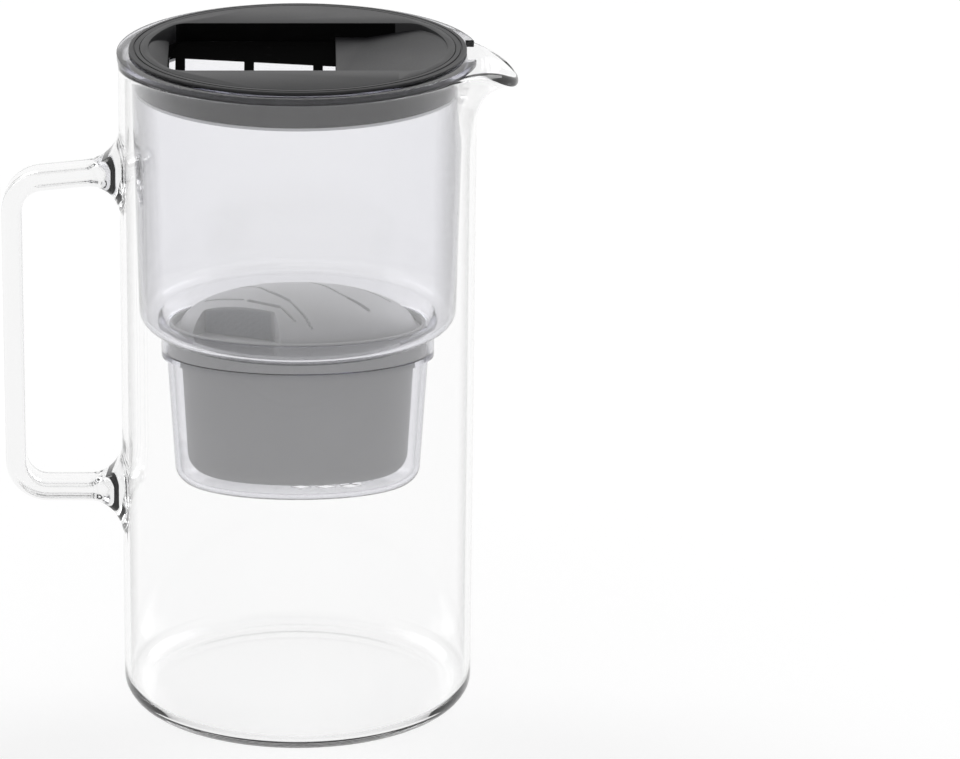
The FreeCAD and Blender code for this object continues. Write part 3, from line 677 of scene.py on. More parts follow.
def cad_copy(name: str, node: bpy.types.Object) -> bpy.types.Object:
    """Copies a CAD node's mesh with its loose triangles joined.

    Args:
        name: The new object's name.
        node: The CAD node.

    Returns:
        The new object.
    """
    mesh = node.data.copy()
    work = bmesh.new()
    work.from_mesh(mesh)
    bmesh.ops.remove_doubles(work, verts=work.verts, dist=MERGE_DISTANCE * MM)
    bmesh.ops.dissolve_limit(work, angle_limit=math.radians(FLAT_ANGLE), verts=work.verts, edges=work.edges)
    work.to_mesh(mesh)
    work.free()
    mesh.name = name
    return link_piece(name, mesh)


def run_tree(name: str, tree: bpy.types.NodeTree, values: dict[str, object],
             base: bpy.types.Mesh | None = None) -> bpy.types.Object:
    """Makes a piece with a Geometry Nodes tree and turns it into a plain mesh.

    Args:
        name: The object's name.
        tree: The tree.
        values: Values for the tree's named inputs.
        base: The mesh that the tree starts from.

    Returns:
        The object with its final mesh.
    """
    piece = link_piece(name, base or bpy.data.meshes.new(name))
    modifier = piece.modifiers.new(tree.name, "NODES")
    modifier.node_group = tree
    for item in tree.interface.items_tree:
        if item.in_out == "INPUT" and item.name in values:
            modifier[item.identifier] = values[item.name]
    return bake(piece)


class Tree(Group):
    """Nodes of a Geometry Nodes tree that starts from a mesh and ends in real geometry."""

    def __init__(self, name: str, inputs: dict[str, Socket]) -> None:
        """Makes the tree.

        Args:
            name: The tree's name.
            inputs: Kind of each input besides the mesh and the material.
        """
        shared = {"Geometry": Socket.SHAPE, "Material": Socket.MATERIAL}
        super().__init__(name, "GeometryNodeTree", shared | inputs, {"Geometry": Socket.SHAPE})
        self.tree.is_modifier = True

    def vector(self, x: object, y: object, z: object) -> bpy.types.NodeSocket:
        """Joins three values or sockets into a vector."""
        return self.add("ShaderNodeCombineXYZ", {"X": x, "Y": y, "Z": z}).outputs[0]

    def finish(self, shape: bpy.types.NodeSocket) -> bpy.types.NodeTree:
        """Ends the tree in real geometry with its material.

        Args:
            shape: The geometry so far.

        Returns:
            The finished tree.
        """
        real = self.add("GeometryNodeRealizeInstances", {"Geometry": shape})
        dressed = self.add("GeometryNodeSetMaterial", {
            "Geometry": real.outputs[0], "Material": self.source["Material"]})
        self.feed(self.sink, "Geometry", dressed.outputs[0])
        return self.tree


@dataclass(frozen=True)
class Trees:
    """Geometry Nodes trees for what repeats on the pitcher."""

    cell_turn: float = math.pi / 6  # sets six-sided cells flat against each other
    wire_sides: int = 6
    most_grains: float = 4.0e6  # to the square metre, before the gap thins them

    def rows_of_cells(self) -> bpy.types.NodeTree:
        """Builds upright prisms in three rows.

        Returns:
            The tree.
        """
        number, whole = Socket.NUMBER, Socket.WHOLE
        nodes = Tree("rows_of_cells", {
            "Sides": whole, "Radius": number, "Depth": number, "Pitch": number, "Row Gap": number,
            "Middle Count": whole, "Outer Count": whole, "Centre": number, "Level": number})
        source = nodes.source
        join = nodes.add("GeometryNodeJoinGeometry")
        for row in (-1, 0, 1):
            count = source["Outer Count" if row else "Middle Count"]
            half = nodes.math("MULTIPLY", nodes.math("SUBTRACT", count, 1.0), 0.5)
            first = nodes.math("SUBTRACT", source["Centre"], nodes.math("MULTIPLY", half, source["Pitch"]))
            aside = nodes.math("MULTIPLY", source["Row Gap"], float(row))
            line = nodes.add("GeometryNodeMeshLine", {
                "Count": count, "Start Location": nodes.vector(first, aside, source["Level"]),
                "Offset": nodes.vector(source["Pitch"], 0.0, 0.0)})
            nodes.plug(join.inputs[0], line.outputs[0])
        cell = nodes.add("GeometryNodeMeshCylinder", {
            "Vertices": source["Sides"], "Radius": source["Radius"], "Depth": source["Depth"]})
        turned = nodes.add("GeometryNodeInstanceOnPoints", {
            "Points": join.outputs[0], "Instance": cell.outputs["Mesh"],
            "Rotation": (0.0, 0.0, self.cell_turn)})
        return nodes.finish(turned.outputs[0])

    def laid_wires(self) -> bpy.types.NodeTree:
        """Builds wires on points that carry each wire's turn and length.

        Returns:
            The tree.
        """
        nodes = Tree("laid_wires", {"Wire Radius": Socket.NUMBER})
        turn = nodes.add("GeometryNodeInputNamedAttribute", {"Name": "turn"}, data_type="FLOAT_VECTOR")
        reach = nodes.add("GeometryNodeInputNamedAttribute", {"Name": "reach"}, data_type="FLOAT")
        wire = nodes.add("GeometryNodeMeshCylinder", {
            "Vertices": self.wire_sides, "Radius": nodes.source["Wire Radius"], "Depth": 1.0})
        laid = nodes.add("GeometryNodeInstanceOnPoints", {
            "Points": nodes.source["Geometry"], "Instance": wire.outputs["Mesh"],
            "Rotation": nodes.out(turn, "Attribute"),
            "Scale": nodes.vector(1.0, 1.0, nodes.out(reach, "Attribute"))})
        return nodes.finish(laid.outputs[0])

    def scattered_grains(self) -> bpy.types.NodeTree:
        """Builds grains that lie close together over a bed's surface, with the bed as their core.

        Returns:
            The tree.
        """
        number, whole = Socket.NUMBER, Socket.WHOLE
        nodes = Tree("scattered_grains", {
            "Radius": number, "Gap": number, "Least Scale": number, "Flatness": number,
            "Detail": whole, "Seed": whole})
        source = nodes.source
        points = nodes.add("GeometryNodeDistributePointsOnFaces", {
            "Mesh": source["Geometry"], "Seed": source["Seed"]}, distribute_method="POISSON")
        nodes.feed(points, "Distance Min", source["Gap"])
        nodes.feed(points, "Density Max", self.most_grains)
        grain = nodes.add("GeometryNodeMeshIcoSphere", {
            "Radius": source["Radius"], "Subdivisions": source["Detail"]})
        turn = nodes.add("FunctionNodeRandomValue", {
            "Max": (math.tau, math.tau, math.tau), "Seed": source["Seed"]}, data_type="FLOAT_VECTOR")
        spread = nodes.add("FunctionNodeRandomValue", {
            "Min": source["Least Scale"], "Max": 1.0, "Seed": source["Seed"]}, data_type="FLOAT")
        size = nodes.out(spread)
        laid = nodes.add("GeometryNodeInstanceOnPoints", {
            "Points": points.outputs["Points"], "Instance": grain.outputs["Mesh"],
            "Rotation": nodes.out(turn),
            "Scale": nodes.vector(size, size, nodes.math("MULTIPLY", size, source["Flatness"]))})
        join = nodes.add("GeometryNodeJoinGeometry")
        for shape in (source["Geometry"], laid.outputs[0]):
            nodes.plug(join.inputs[0], shape)
        return nodes.finish(join.outputs[0])


# Assembly

class Workshop:
    """Holds the finishes and trees, and puts each finished piece on its body."""

    def __init__(self, frame: dict) -> None:
        """Makes the trees and the finishes.
        """
        self.nodes = frame["nodes"]
        trees = Trees()
        self.cells = trees.rows_of_cells()
        self.wires = trees.laid_wires()
        self.grains = trees.scattered_grains()
        self.mould_grain = MouldGrain().make()
        self.finishes = {slot: finish.make(self.mould_grain) for slot, finish in FINISHES.items()}

    def hand_over(self, piece: bpy.types.Object, body: Body, slot: Slot, replaced: Sequence[str],
                  smooth_angle: float = SHARP_ANGLE, shade: PaintedShading | None = None) -> None:
        """Dresses a piece, rides it on its body and reports it.

        Args:
            piece: The finished object.
            body: The body that it moves with.
            slot: The finish that it takes.
            replaced: CAD nodes that it stands for.
            smooth_angle: Angle in degrees above which an edge stays sharp.
            shade: The slot's second finish, a paler copy for painted light or a darker one for painted
                shade, where the piece takes that one.
        """
        piece.data.materials.clear()
        piece.data.materials.append(self.finishes[shade or slot])
        piece.data.shade_smooth()
        piece.data.set_sharp_from_angle(angle=math.radians(smooth_angle))
        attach(piece, body.value)
        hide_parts(*replaced)
        LOG.info("%s: %d faces, on %s", piece.name, len(piece.data.polygons), body.value)


@dataclass
class Carafe:
    """Glass jug: turned wall, pulled spout and a bar handle fused on."""

    radius: float = 69.0
    wall: float = 2.5
    height: float = 261.0
    base: float = 4.0
    base_round: float = 8.0
    inner_round: float = 5.5
    rim_round: float = 1.0
    rim_steps: int = 8
    under_base: tuple[Pair, ...] = ((20.0, 0.5), (45.0, 0.35), (56.0, 0.1))  # radius and rise
    under_centre: float = 0.55
    floor_dips: tuple[Pair, ...] = ((45.0, 0.05), (20.0, 0.15))  # radius and drop
    floor_centre_dip: float = 0.2
    wall_low: float = 12.0
    wall_gap: float = 3.0
    wall_rows: int = 30
    fine_step: float = 0.8  # degrees between upright lines at the spout
    fine_count: int = 50  # such steps to each side of the spout
    coarse_step: float = 2.0  # degrees elsewhere
    spout_reach: float = 14.8
    spout_tip_drop: float = 10.7
    spout_root_drop: float = 30.7
    spout_half_angle: float = 33.5
    spout_rows: int = 16
    spout_lift: float = 1.9  # power of the rise along the spout's middle
    spout_dip: float = 1.6  # power of the rim's fall towards the tip
    spout_curl: float = 2.6  # power of the outward pull up the wall
    spout_tip_thickening: float = 0.8
    spout_side_thickening: float = 8.0
    probe: float = 0.02  # step between points that give a direction
    near_rim: float = 0.97
    smooth_angle: float = 40.0
    handle_reach: float = 110.7
    handle_thickness: float = 7.8
    handle_width: float = 16.0
    handle_corner: float = 3.0
    handle_bend: float = 12.5
    corner_points: int = 7
    bend_points: int = 11
    arm_points: int = 10
    grip_points: int = 12
    lower_arm: float = 85.4
    upper_arm: float = 217.0  # its height at arm_datum from the axis
    arm_datum: float = 57.0
    upper_slope: float = 5.8
    flare_run: float = 13.0
    flare_start: float = 0.15
    flare_corner_share: float = 0.9
    least_flat: float = 0.1
    upper_flare: float = 13.5
    lower_flare: float = 15.5
    side_flare: float = 8.0
    flare_depths: tuple[float, ...] = (12.0, 10.0, 8.0, 6.0, 4.5, 3.2, 2.2, 1.4, 0.8, 0.4, 0.1, -0.1, -0.8)

    def spout_share(self, angle: float) -> float:
        """Gives how far the rim is pulled out at an angle in degrees from the spout, from zero to one."""
        return math.cos(math.radians(90 * min(abs(angle) / self.spout_half_angle, 1.0))) ** 2

    def outer_point(self, angle: float, rise: float) -> Vector:
        """Gives a point on the outside of the upper wall.

        Args:
            angle: Degrees round from the spout.
            rise: Zero at the spout's root, one at the rim.

        Returns:
            The point.
        """
        share = self.spout_share(angle)
        root = self.height - self.spout_root_drop
        plain = root + rise * (self.height - self.rim_round - root)
        tip = self.height - self.spout_tip_drop
        pulled = tip - (tip - root) * max(1 - rise, 0.0) ** self.spout_lift
        level = plain + (pulled - plain) * share ** self.spout_dip
        radius = self.radius + self.spout_reach * rise ** self.spout_curl * share
        turn = math.radians(angle)
        return Vector((radius * math.cos(turn), radius * math.sin(turn), level))

    def inner_point(self, angle: float, rise: float) -> Vector:
        """Gives the point of the inside wall behind an outside point.

        Args:
            angle: Degrees round from the spout.
            rise: Zero at the spout's root, one at the rim.

        Returns:
            The point.
        """
        step = self.probe
        above = self.outer_point(angle, min(rise + step, 1.0))
        upward = above - self.outer_point(angle, max(rise - step, 0.0))
        round_way = self.outer_point(angle + step, rise) - self.outer_point(angle - step, rise)
        normal = round_way.cross(upward).normalized()
        share = self.spout_share(angle)
        extra = self.spout_tip_thickening * share + self.spout_side_thickening * share * (1 - share)
        return self.outer_point(angle, rise) - normal * (self.wall + rise ** 2 * extra)

    def angles(self) -> list[float]:
        """Gives the angles of the wall's upright lines, which lie closer together at the spout.

        Returns:
            Angles in degrees from the spout, all the way round.
        """
        edge = self.fine_step * self.fine_count
        fine = [self.fine_step * step for step in range(-self.fine_count, self.fine_count + 1)]
        coarse_count = round((360 - 2 * edge) / self.coarse_step)
        return fine + [edge + self.coarse_step * step for step in range(1, coarse_count)]

    def plain_wall(self) -> tuple[list[Pair], list[Pair]]:
        """Gives the profile of the wall and the base below the spout.

        Returns:
            Radius and height of the outside upwards, and of the inside downwards.
        """
        flat, inside = self.radius - self.base_round, self.radius - self.wall
        top = self.height - self.spout_root_drop - self.wall_gap
        outside = [*self.under_base, *arc(flat, self.base_round, self.base_round, -90, 0, 9)]
        outside += [(self.radius, level) for level in np.linspace(self.wall_low, top, self.wall_rows)]
        inner = [(inside, level) for level in np.linspace(top, self.wall_low, self.wall_rows)]
        inner += arc(inside - self.inner_round, self.base + self.inner_round, self.inner_round, 0, -90, 8)
        return outside, inner + [(radius, self.base - dip) for radius, dip in self.floor_dips]

    def columns(self) -> list[list[Point]]:
        """Builds the wall's upright lines of points, from under the base, over the rim, to the floor.

        Returns:
            One list of points for each angle.
        """
        outside, inner = self.plain_wall()
        rises = [step / self.spout_rows for step in range(self.spout_rows + 1)]
        columns = []
        for angle in self.angles():
            turn = math.radians(angle)
            column = [(r * math.cos(turn), r * math.sin(turn), z) for r, z in outside]
            column += [self.outer_point(angle, rise) for rise in rises]
            edge, lip = self.outer_point(angle, 1.0), self.inner_point(angle, 1.0)
            upward = (edge - self.outer_point(angle, self.near_rim)).normalized()
            for step in range(1, self.rim_steps):
                turned = math.pi * step / self.rim_steps
                share = (1 - math.cos(turned)) / 2
                column.append(edge.lerp(lip, share) + upward * self.rim_round * math.sin(turned))
            column += [self.inner_point(angle, rise) for rise in reversed(rises)]
            column += [(r * math.cos(turn), r * math.sin(turn), z) for r, z in inner]
            columns.append(column)
        return columns

    def jug(self) -> bpy.types.Object:
        """Builds the jug without its handle and gives its object."""
        rings = [list(ring) for ring in zip(*self.columns())]
        return skin("carafe", rings, ((0, 0, self.under_centre), (0, 0, self.base - self.floor_centre_dip)))

    def corner(self, centre: Vector, start: float, end: float) -> list[tuple[Vector, Vector]]:
        """Builds one bend of the handle's centre line.

        Args:
            centre: The bend's centre.
            start: First angle in degrees, from the spout's side upwards.
            end: Last angle in degrees.

        Returns:
            Points in the XZ plane, each with the direction away from the centre.
        """
        pairs = []
        for turn in np.radians(np.linspace(start, end, self.bend_points)):
            outward = Vector((math.cos(turn), 0, math.sin(turn)))
            pairs.append((centre + outward * self.handle_bend, outward))
        return pairs

    def handle_path(self) -> list[tuple[Vector, Vector]]:
        """Builds the handle's centre line from the upper root to the lower one.

        Returns:
            Points in the XZ plane, each with the direction across the bar.
        """
        slope = math.radians(self.upper_slope)
        grip, bend, root = self.handle_reach, self.handle_bend, self.radius - self.wall
        drop = math.tan(slope)
        corner = Vector((-grip, 0, self.upper_arm - (grip - self.arm_datum) * drop))
        reach = bend * math.tan((math.pi / 2 - slope) / 2)
        start = corner + Vector((math.cos(slope), 0, math.sin(slope))) * reach
        upper_root = Vector((-root, 0, self.upper_arm - (root - self.arm_datum) * drop))
        pairs = []
        for run in np.linspace(0, 1, self.arm_points)[:-1]:
            pairs.append((upper_root.lerp(start, run), Vector((-math.sin(slope), 0, math.cos(slope)))))
        centre = Vector((-grip + bend, 0, corner.z - reach))
        pairs += self.corner(centre, 90 + self.upper_slope, 180)
        lower = Vector((-grip + bend, 0, self.lower_arm + bend))
        for run in np.linspace(0, 1, self.grip_points)[1:-1]:
            level = centre.z + (lower.z - centre.z) * run
            pairs.append((Vector((-grip, 0, level)), Vector((-1, 0, 0))))
        pairs += self.corner(lower, 180, 270)
        for run in np.linspace(0, 1, self.arm_points)[1:]:
            along = -grip + bend + (grip - bend - root) * run
            pairs.append((Vector((along, 0, self.lower_arm)), Vector((0, 0, -1))))
        return pairs

    def section(self, half_width: float, half_depth: float, corner: float) -> list[Pair]:
        """Gives the bar's rounded section.

        Args:
            half_width: Half its width along Y.
            half_depth: Half its thickness.
            corner: Radius of its corners.

        Returns:
            Pairs along Y and across the bar.
        """
        outline = []
        for start, side, rise in ((0, 1, 1), (90, -1, 1), (180, -1, -1), (270, 1, -1)):
            for turn in np.radians(np.linspace(start, start + 90, self.corner_points)):
                outline.append((side * (half_width - corner) + corner * math.cos(turn),
                                rise * (half_depth - corner) + corner * math.sin(turn)))
        return outline

    def bar_ring(self, point: Vector, across: Vector) -> Ring:
        """Gives the section's points at one place along the bar."""
        outline = self.section(self.handle_width / 2, self.handle_thickness / 2, self.handle_corner)
        return [point + Vector((0, y, 0)) + across * up for y, up in outline]

    def flare(self, depth: float, most: float) -> float:
        """Gives how much the bar widens at a distance from the glass, with the most at the glass."""
        near = clamp(1 - (depth + self.flare_start) / self.flare_run)
        return most * (1 - math.sqrt(1 - near * near))

    def root_ring(self, level: float, depth: float, flare: float, way: int) -> Ring:
        """Gives the section's points at a distance from the glass, curved to follow it.

        Args:
            level: Height of the bar's centre there.
            depth: Distance from the glass.
            flare: The widest flare up and down.
            way: One for the upper root, minus one for the lower.

        Returns:
            The ring's points.
        """
        up = self.flare(depth, flare)
        aside = self.flare(depth, self.side_flare)
        half_width = self.handle_width / 2 + aside
        half_depth = self.handle_thickness / 2 + up
        corner = self.handle_corner + min(up, aside) * self.flare_corner_share
        ring = []
        for y, rise in self.section(half_width, half_depth, min(corner, half_width - self.least_flat)):
            across = -(math.sqrt(self.radius ** 2 - y * y) + depth)
            ring.append(Vector((across, y, level + rise * way)))
        return ring

    def handle(self) -> bpy.types.Object:
        """Builds the bar handle with roots that flare out over the glass.

        Returns:
            The handle's object.
        """
        pairs = self.handle_path()
        upper, lower = pairs[0][0], pairs[-1][0]
        slope = math.tan(math.radians(self.upper_slope))
        rings = []
        for depth in reversed(self.flare_depths):
            level = upper.z - (self.radius + depth + upper.x) * slope
            rings.append(self.root_ring(level, depth, self.upper_flare, 1))
        rings += [self.bar_ring(point, across) for point, across in pairs
                  if abs(point.x) > self.radius + self.flare_run]
        rings += [self.root_ring(lower.z, depth, self.lower_flare, -1) for depth in self.flare_depths]
        ends = tuple(tuple(sum(point[axis] for point in ring) / len(ring) for axis in range(3))
                     for ring in (rings[0], rings[-1]))
        return skin("handle", rings, ends)

    def build(self, shop: Workshop) -> None:
        """Builds the glass as one fused piece and hands it over."""
        jug = carve(self.jug(), self.handle(), Carve.FUSE)
        shop.hand_over(jug, Body.CARAFE, Slot.GLASS, ("carafe_glass", "carafe_handle"), self.smooth_angle)


@dataclass
class Hopper:
    """Clear tinted funnel with its flange, oval collar and cartridge pocket."""

    steps: int = 192
    rim: float = 261.0
    flange_top: float = 263.7
    flange_radius: float = 69.5
    flange_round: float = 0.35
    flange_fillet: float = 0.8
    top_radius: float = 64.1
    bottom_radius: float = 61.8
    slope_height: float = 96.0
    wall: float = 2.0
    floor_under: float = 155.2
    floor_dish: float = 2.2
    floor_round: float = 6.5
    collar_length: float = 51.4
    collar_width: float = 31.0
    collar_bottom: float = 140.8
    collar_chamfer: float = 0.9
    chamfer_inset: float = 0.2
    chamfer_rise: float = 0.25
    collar_fillet: float = 0.8
    mouth_round: float = 1.2
    ledge: float = 142.8
    ledge_fillet: float = 0.6
    ledge_chamfer: float = 0.4
    neck_chamfer: float = 0.5
    pocket_length: float = 49.1
    pocket_width: float = 28.5
    pocket_taper: float = 2.8
    pocket_bottom: float = 87.7
    pocket_round: float = 8.0
    notch_across: float = 64.7
    notch_half_width: float = 14.0
    notch_bite: float = 0.05
    drain_pitch: float = 9.7
    drain_web: float = 1.6
    drain_centre: float = 11.0
    drain_sides: int = 6
    drain_middle_count: int = 4
    drain_outer_count: int = 3

    def round_rings(self) -> list[Size]:
        """Gives the rings of the round upper part.

        Returns:
            Half length, half width and height of each: the inside upwards, then the outside downwards.
        """
        inside, low_inside = self.top_radius - self.wall, self.bottom_radius - self.wall
        inner_round, edge, fillet = self.floor_round - self.wall, self.flange_round, self.flange_fillet
        low, high = self.floor_under + self.wall + inner_round, self.rim - fillet
        shares = (0.2, 0.4, 0.6, 0.8)
        profile = arc(low_inside - inner_round, low, inner_round, -90, 0, 6)
        profile += [(low_inside + (inside - low_inside) * share, low + share * self.slope_height)
                    for share in (*shares, 1.0)]
        profile += arc(inside + edge, self.flange_top - edge, edge, 180, 90, 4)
        profile += arc(self.flange_radius - edge, self.flange_top - edge, edge, 90, 0, 4)
        profile += arc(self.flange_radius - edge, self.rim + edge, edge, 0, -90, 4)
        profile += arc(self.top_radius + fillet, high, fillet, 90, 180, 4)
        span = high - self.floor_under - self.floor_round
        profile += [(self.top_radius + (self.bottom_radius - self.top_radius) * share, high - span * share)
                    for share in shares]
        profile += arc(self.bottom_radius - self.floor_round, self.floor_under + self.floor_round,
                       self.floor_round, 0, -90, 8)
        return [(radius, radius, level) for radius, level in profile]

    def pocket_rings(self, inset: float, low: float, corner: float, high: float) -> list[Size]:
        """Gives the rings of the pocket from its floor up.

        Args:
            inset: How far outside the pocket's inner face the rings lie.
            low: Height of the floor.
            corner: Radius of the floor's rounded edge.
            high: Height of the last ring.

        Returns:
            Half length, half width and height of each ring.
        """
        length = self.pocket_length + inset - self.pocket_taper
        width = self.pocket_width + inset - self.pocket_taper
        shares = (0.25, 0.5, 0.75)
        rings = [((length - corner) * share, (width - corner) * share, low) for share in shares]
        rings += [(length - corner + out, width - corner + out, level)
                  for out, level in arc(0.0, low + corner, corner, -90, 0, 10)]
        for share in (*shares, 1.0):
            grown = self.pocket_taper * share
            rings.append((length + grown, width + grown, low + corner + (high - low - corner) * share))
        return rings

    def pocket(self, out: float, level: float) -> Size:
        """Gives the oval of the pocket's mouth, widened by a distance, at a height."""
        return self.pocket_length + out, self.pocket_width + out, level

    def collar(self, out: float, level: float) -> Size:
        """Gives the oval of the collar's inside, widened by a distance, at a height."""
        return self.collar_length + out, self.collar_width + out, level

    def shell(self) -> bpy.types.Object:
        """Builds the funnel as one closed skin, without its holes.

        Returns:
            The funnel's object.
        """
        wall, ledge, bottom, mouth = self.wall, self.ledge, self.collar_bottom, self.mouth_round
        collar_under = self.floor_under - self.floor_dish
        mouth_low = collar_under + wall - mouth
        inner = self.pocket_rings(0.0, self.pocket_bottom + wall, self.pocket_round - wall,
                                  ledge - self.ledge_chamfer)
        inner += [self.pocket(self.ledge_chamfer, ledge), self.collar(-self.ledge_fillet, ledge),
                  self.collar(0.0, ledge + self.ledge_fillet), self.collar(0.0, mouth_low)]
        inner += [self.collar(mouth - out, mouth_low + up) for out, up in arc(0.0, 0.0, mouth, 0, 90, 5)[1:]]
        outer = self.pocket_rings(wall, self.pocket_bottom, self.pocket_round, bottom - self.neck_chamfer)
        outer += [self.pocket(wall + self.neck_chamfer, bottom),
                  self.collar(wall - self.collar_chamfer, bottom),
                  self.collar(wall - self.chamfer_inset, bottom + self.chamfer_rise),
                  self.collar(wall, bottom + self.collar_chamfer),
                  self.collar(wall, collar_under - self.collar_fillet),
                  self.collar(wall + self.collar_fillet, collar_under)]
        rings = [oval(*size, self.steps) for size in inner + self.round_rings() + outer[::-1]]
        return skin("hopper", rings, ((0, 0, self.pocket_bottom + wall), (0, 0, self.pocket_bottom)))

    def drains(self, shop: Workshop) -> bpy.types.Object:
        """Builds the honeycomb of drain holes as one cutting tool.

        Args:
            shop: The workshop with the tree.

        Returns:
            The tool.
        """
        return run_tree("drain_tool", shop.cells, {
            "Sides": self.drain_sides, "Radius": (self.drain_pitch - self.drain_web) * HEX_REACH * MM,
            "Depth": TOOL_WALLS * self.wall * MM, "Pitch": self.drain_pitch * MM,
            "Row Gap": self.drain_pitch * HEX_ROW * MM, "Middle Count": self.drain_middle_count,
            "Outer Count": self.drain_outer_count, "Centre": self.drain_centre * MM,
            "Level": (self.pocket_bottom + self.wall / 2) * MM})

    def notch(self) -> bpy.types.Object:
        """Builds the cutting tool for the flange's notch at the spout.

        Returns:
            The tool.
        """
        far, half = self.flange_radius + OVERRUN, self.notch_half_width
        outline = ((self.notch_across, -half), (far, -half), (far, half), (self.notch_across, half))
        return prism("notch_tool", outline, self.rim - self.notch_bite, self.flange_top + OVERRUN)

    def build(self, shop: Workshop) -> None:
        """Builds the hopper and hands it over."""
        piece = carve(carve(self.shell(), self.drains(shop)), self.notch())
        shop.hand_over(piece, Body.HOPPER, Slot.TINTED, ("hopper",))


@dataclass(frozen=True)
class Groove:
    """Fine line pressed into the cap, along points seen from above."""

    line: Sequence[Pair]
    width: float
    depth: float
    fullness: float = 1.4  # above one, the line has a flat bottom

    def press(self, places: np.ndarray) -> np.ndarray:
        """Gives how deep the line is at each place.

        Args:
            places: Rows of X and Y.

        Returns:
            Depth at each row, for the line and its half-turn twin.
        """
        nearest = np.full(len(places), np.inf)
        for turned in (1.0, -1.0):
            line = np.array(self.line) * turned
            for start, end in zip(line, line[1:]):
                along = end - start
                share = np.clip((places - start) @ along / (along @ along), 0, 1)
                away = np.linalg.norm(places - start - share[:, None] * along, axis=1)
                nearest = np.minimum(nearest, away)
        return self.depth * np.clip(self.fullness - nearest / (self.width / 2), 0, 1)


@dataclass(frozen=True)
class Bed:
    """Grains or fibres packed between two level ovals."""

    name: str
    node: str
    slot: Slot
    low: Size
    high: Size
    radius: float
    gap: float
    flatness: float
    least_scale: float = 0.6
    detail: int = 1
    steps: int = 64
    rows: int = 6

    def core(self) -> bpy.types.Mesh:
        """Builds the bed's closed core.

        Returns:
            Its mesh.
        """
        sizes = [tuple(first + (last - first) * share for first, last in zip(self.low, self.high))
                 for share in np.linspace(0, 1, self.rows)]
        halves = [(length / 2, width / 2, level) for length, width, level in (self.low, self.high)]
        rings = [oval(*size, self.steps) for size in (halves[0], *sizes, halves[1])]
        piece = skin(self.name, rings, ((0, 0, self.low[2]), (0, 0, self.high[2])))
        mesh = piece.data
        bpy.data.objects.remove(piece)
        return mesh

    def build(self, seed: int, shop: Workshop) -> None:
        """Strews the bed with its grains and hands it over.

        Args:
            seed: Seed of the grains' places and turns.
            shop: The workshop with the tree.
        """
        piece = run_tree(self.name, shop.grains, {
            "Radius": self.radius * MM, "Gap": self.gap * MM, "Flatness": self.flatness,
            "Detail": self.detail, "Seed": seed, "Least Scale": self.least_scale,
            "Material": shop.finishes[self.slot]}, self.core())
        shop.hand_over(piece, Body.CARTRIDGE, self.slot, (self.node,))


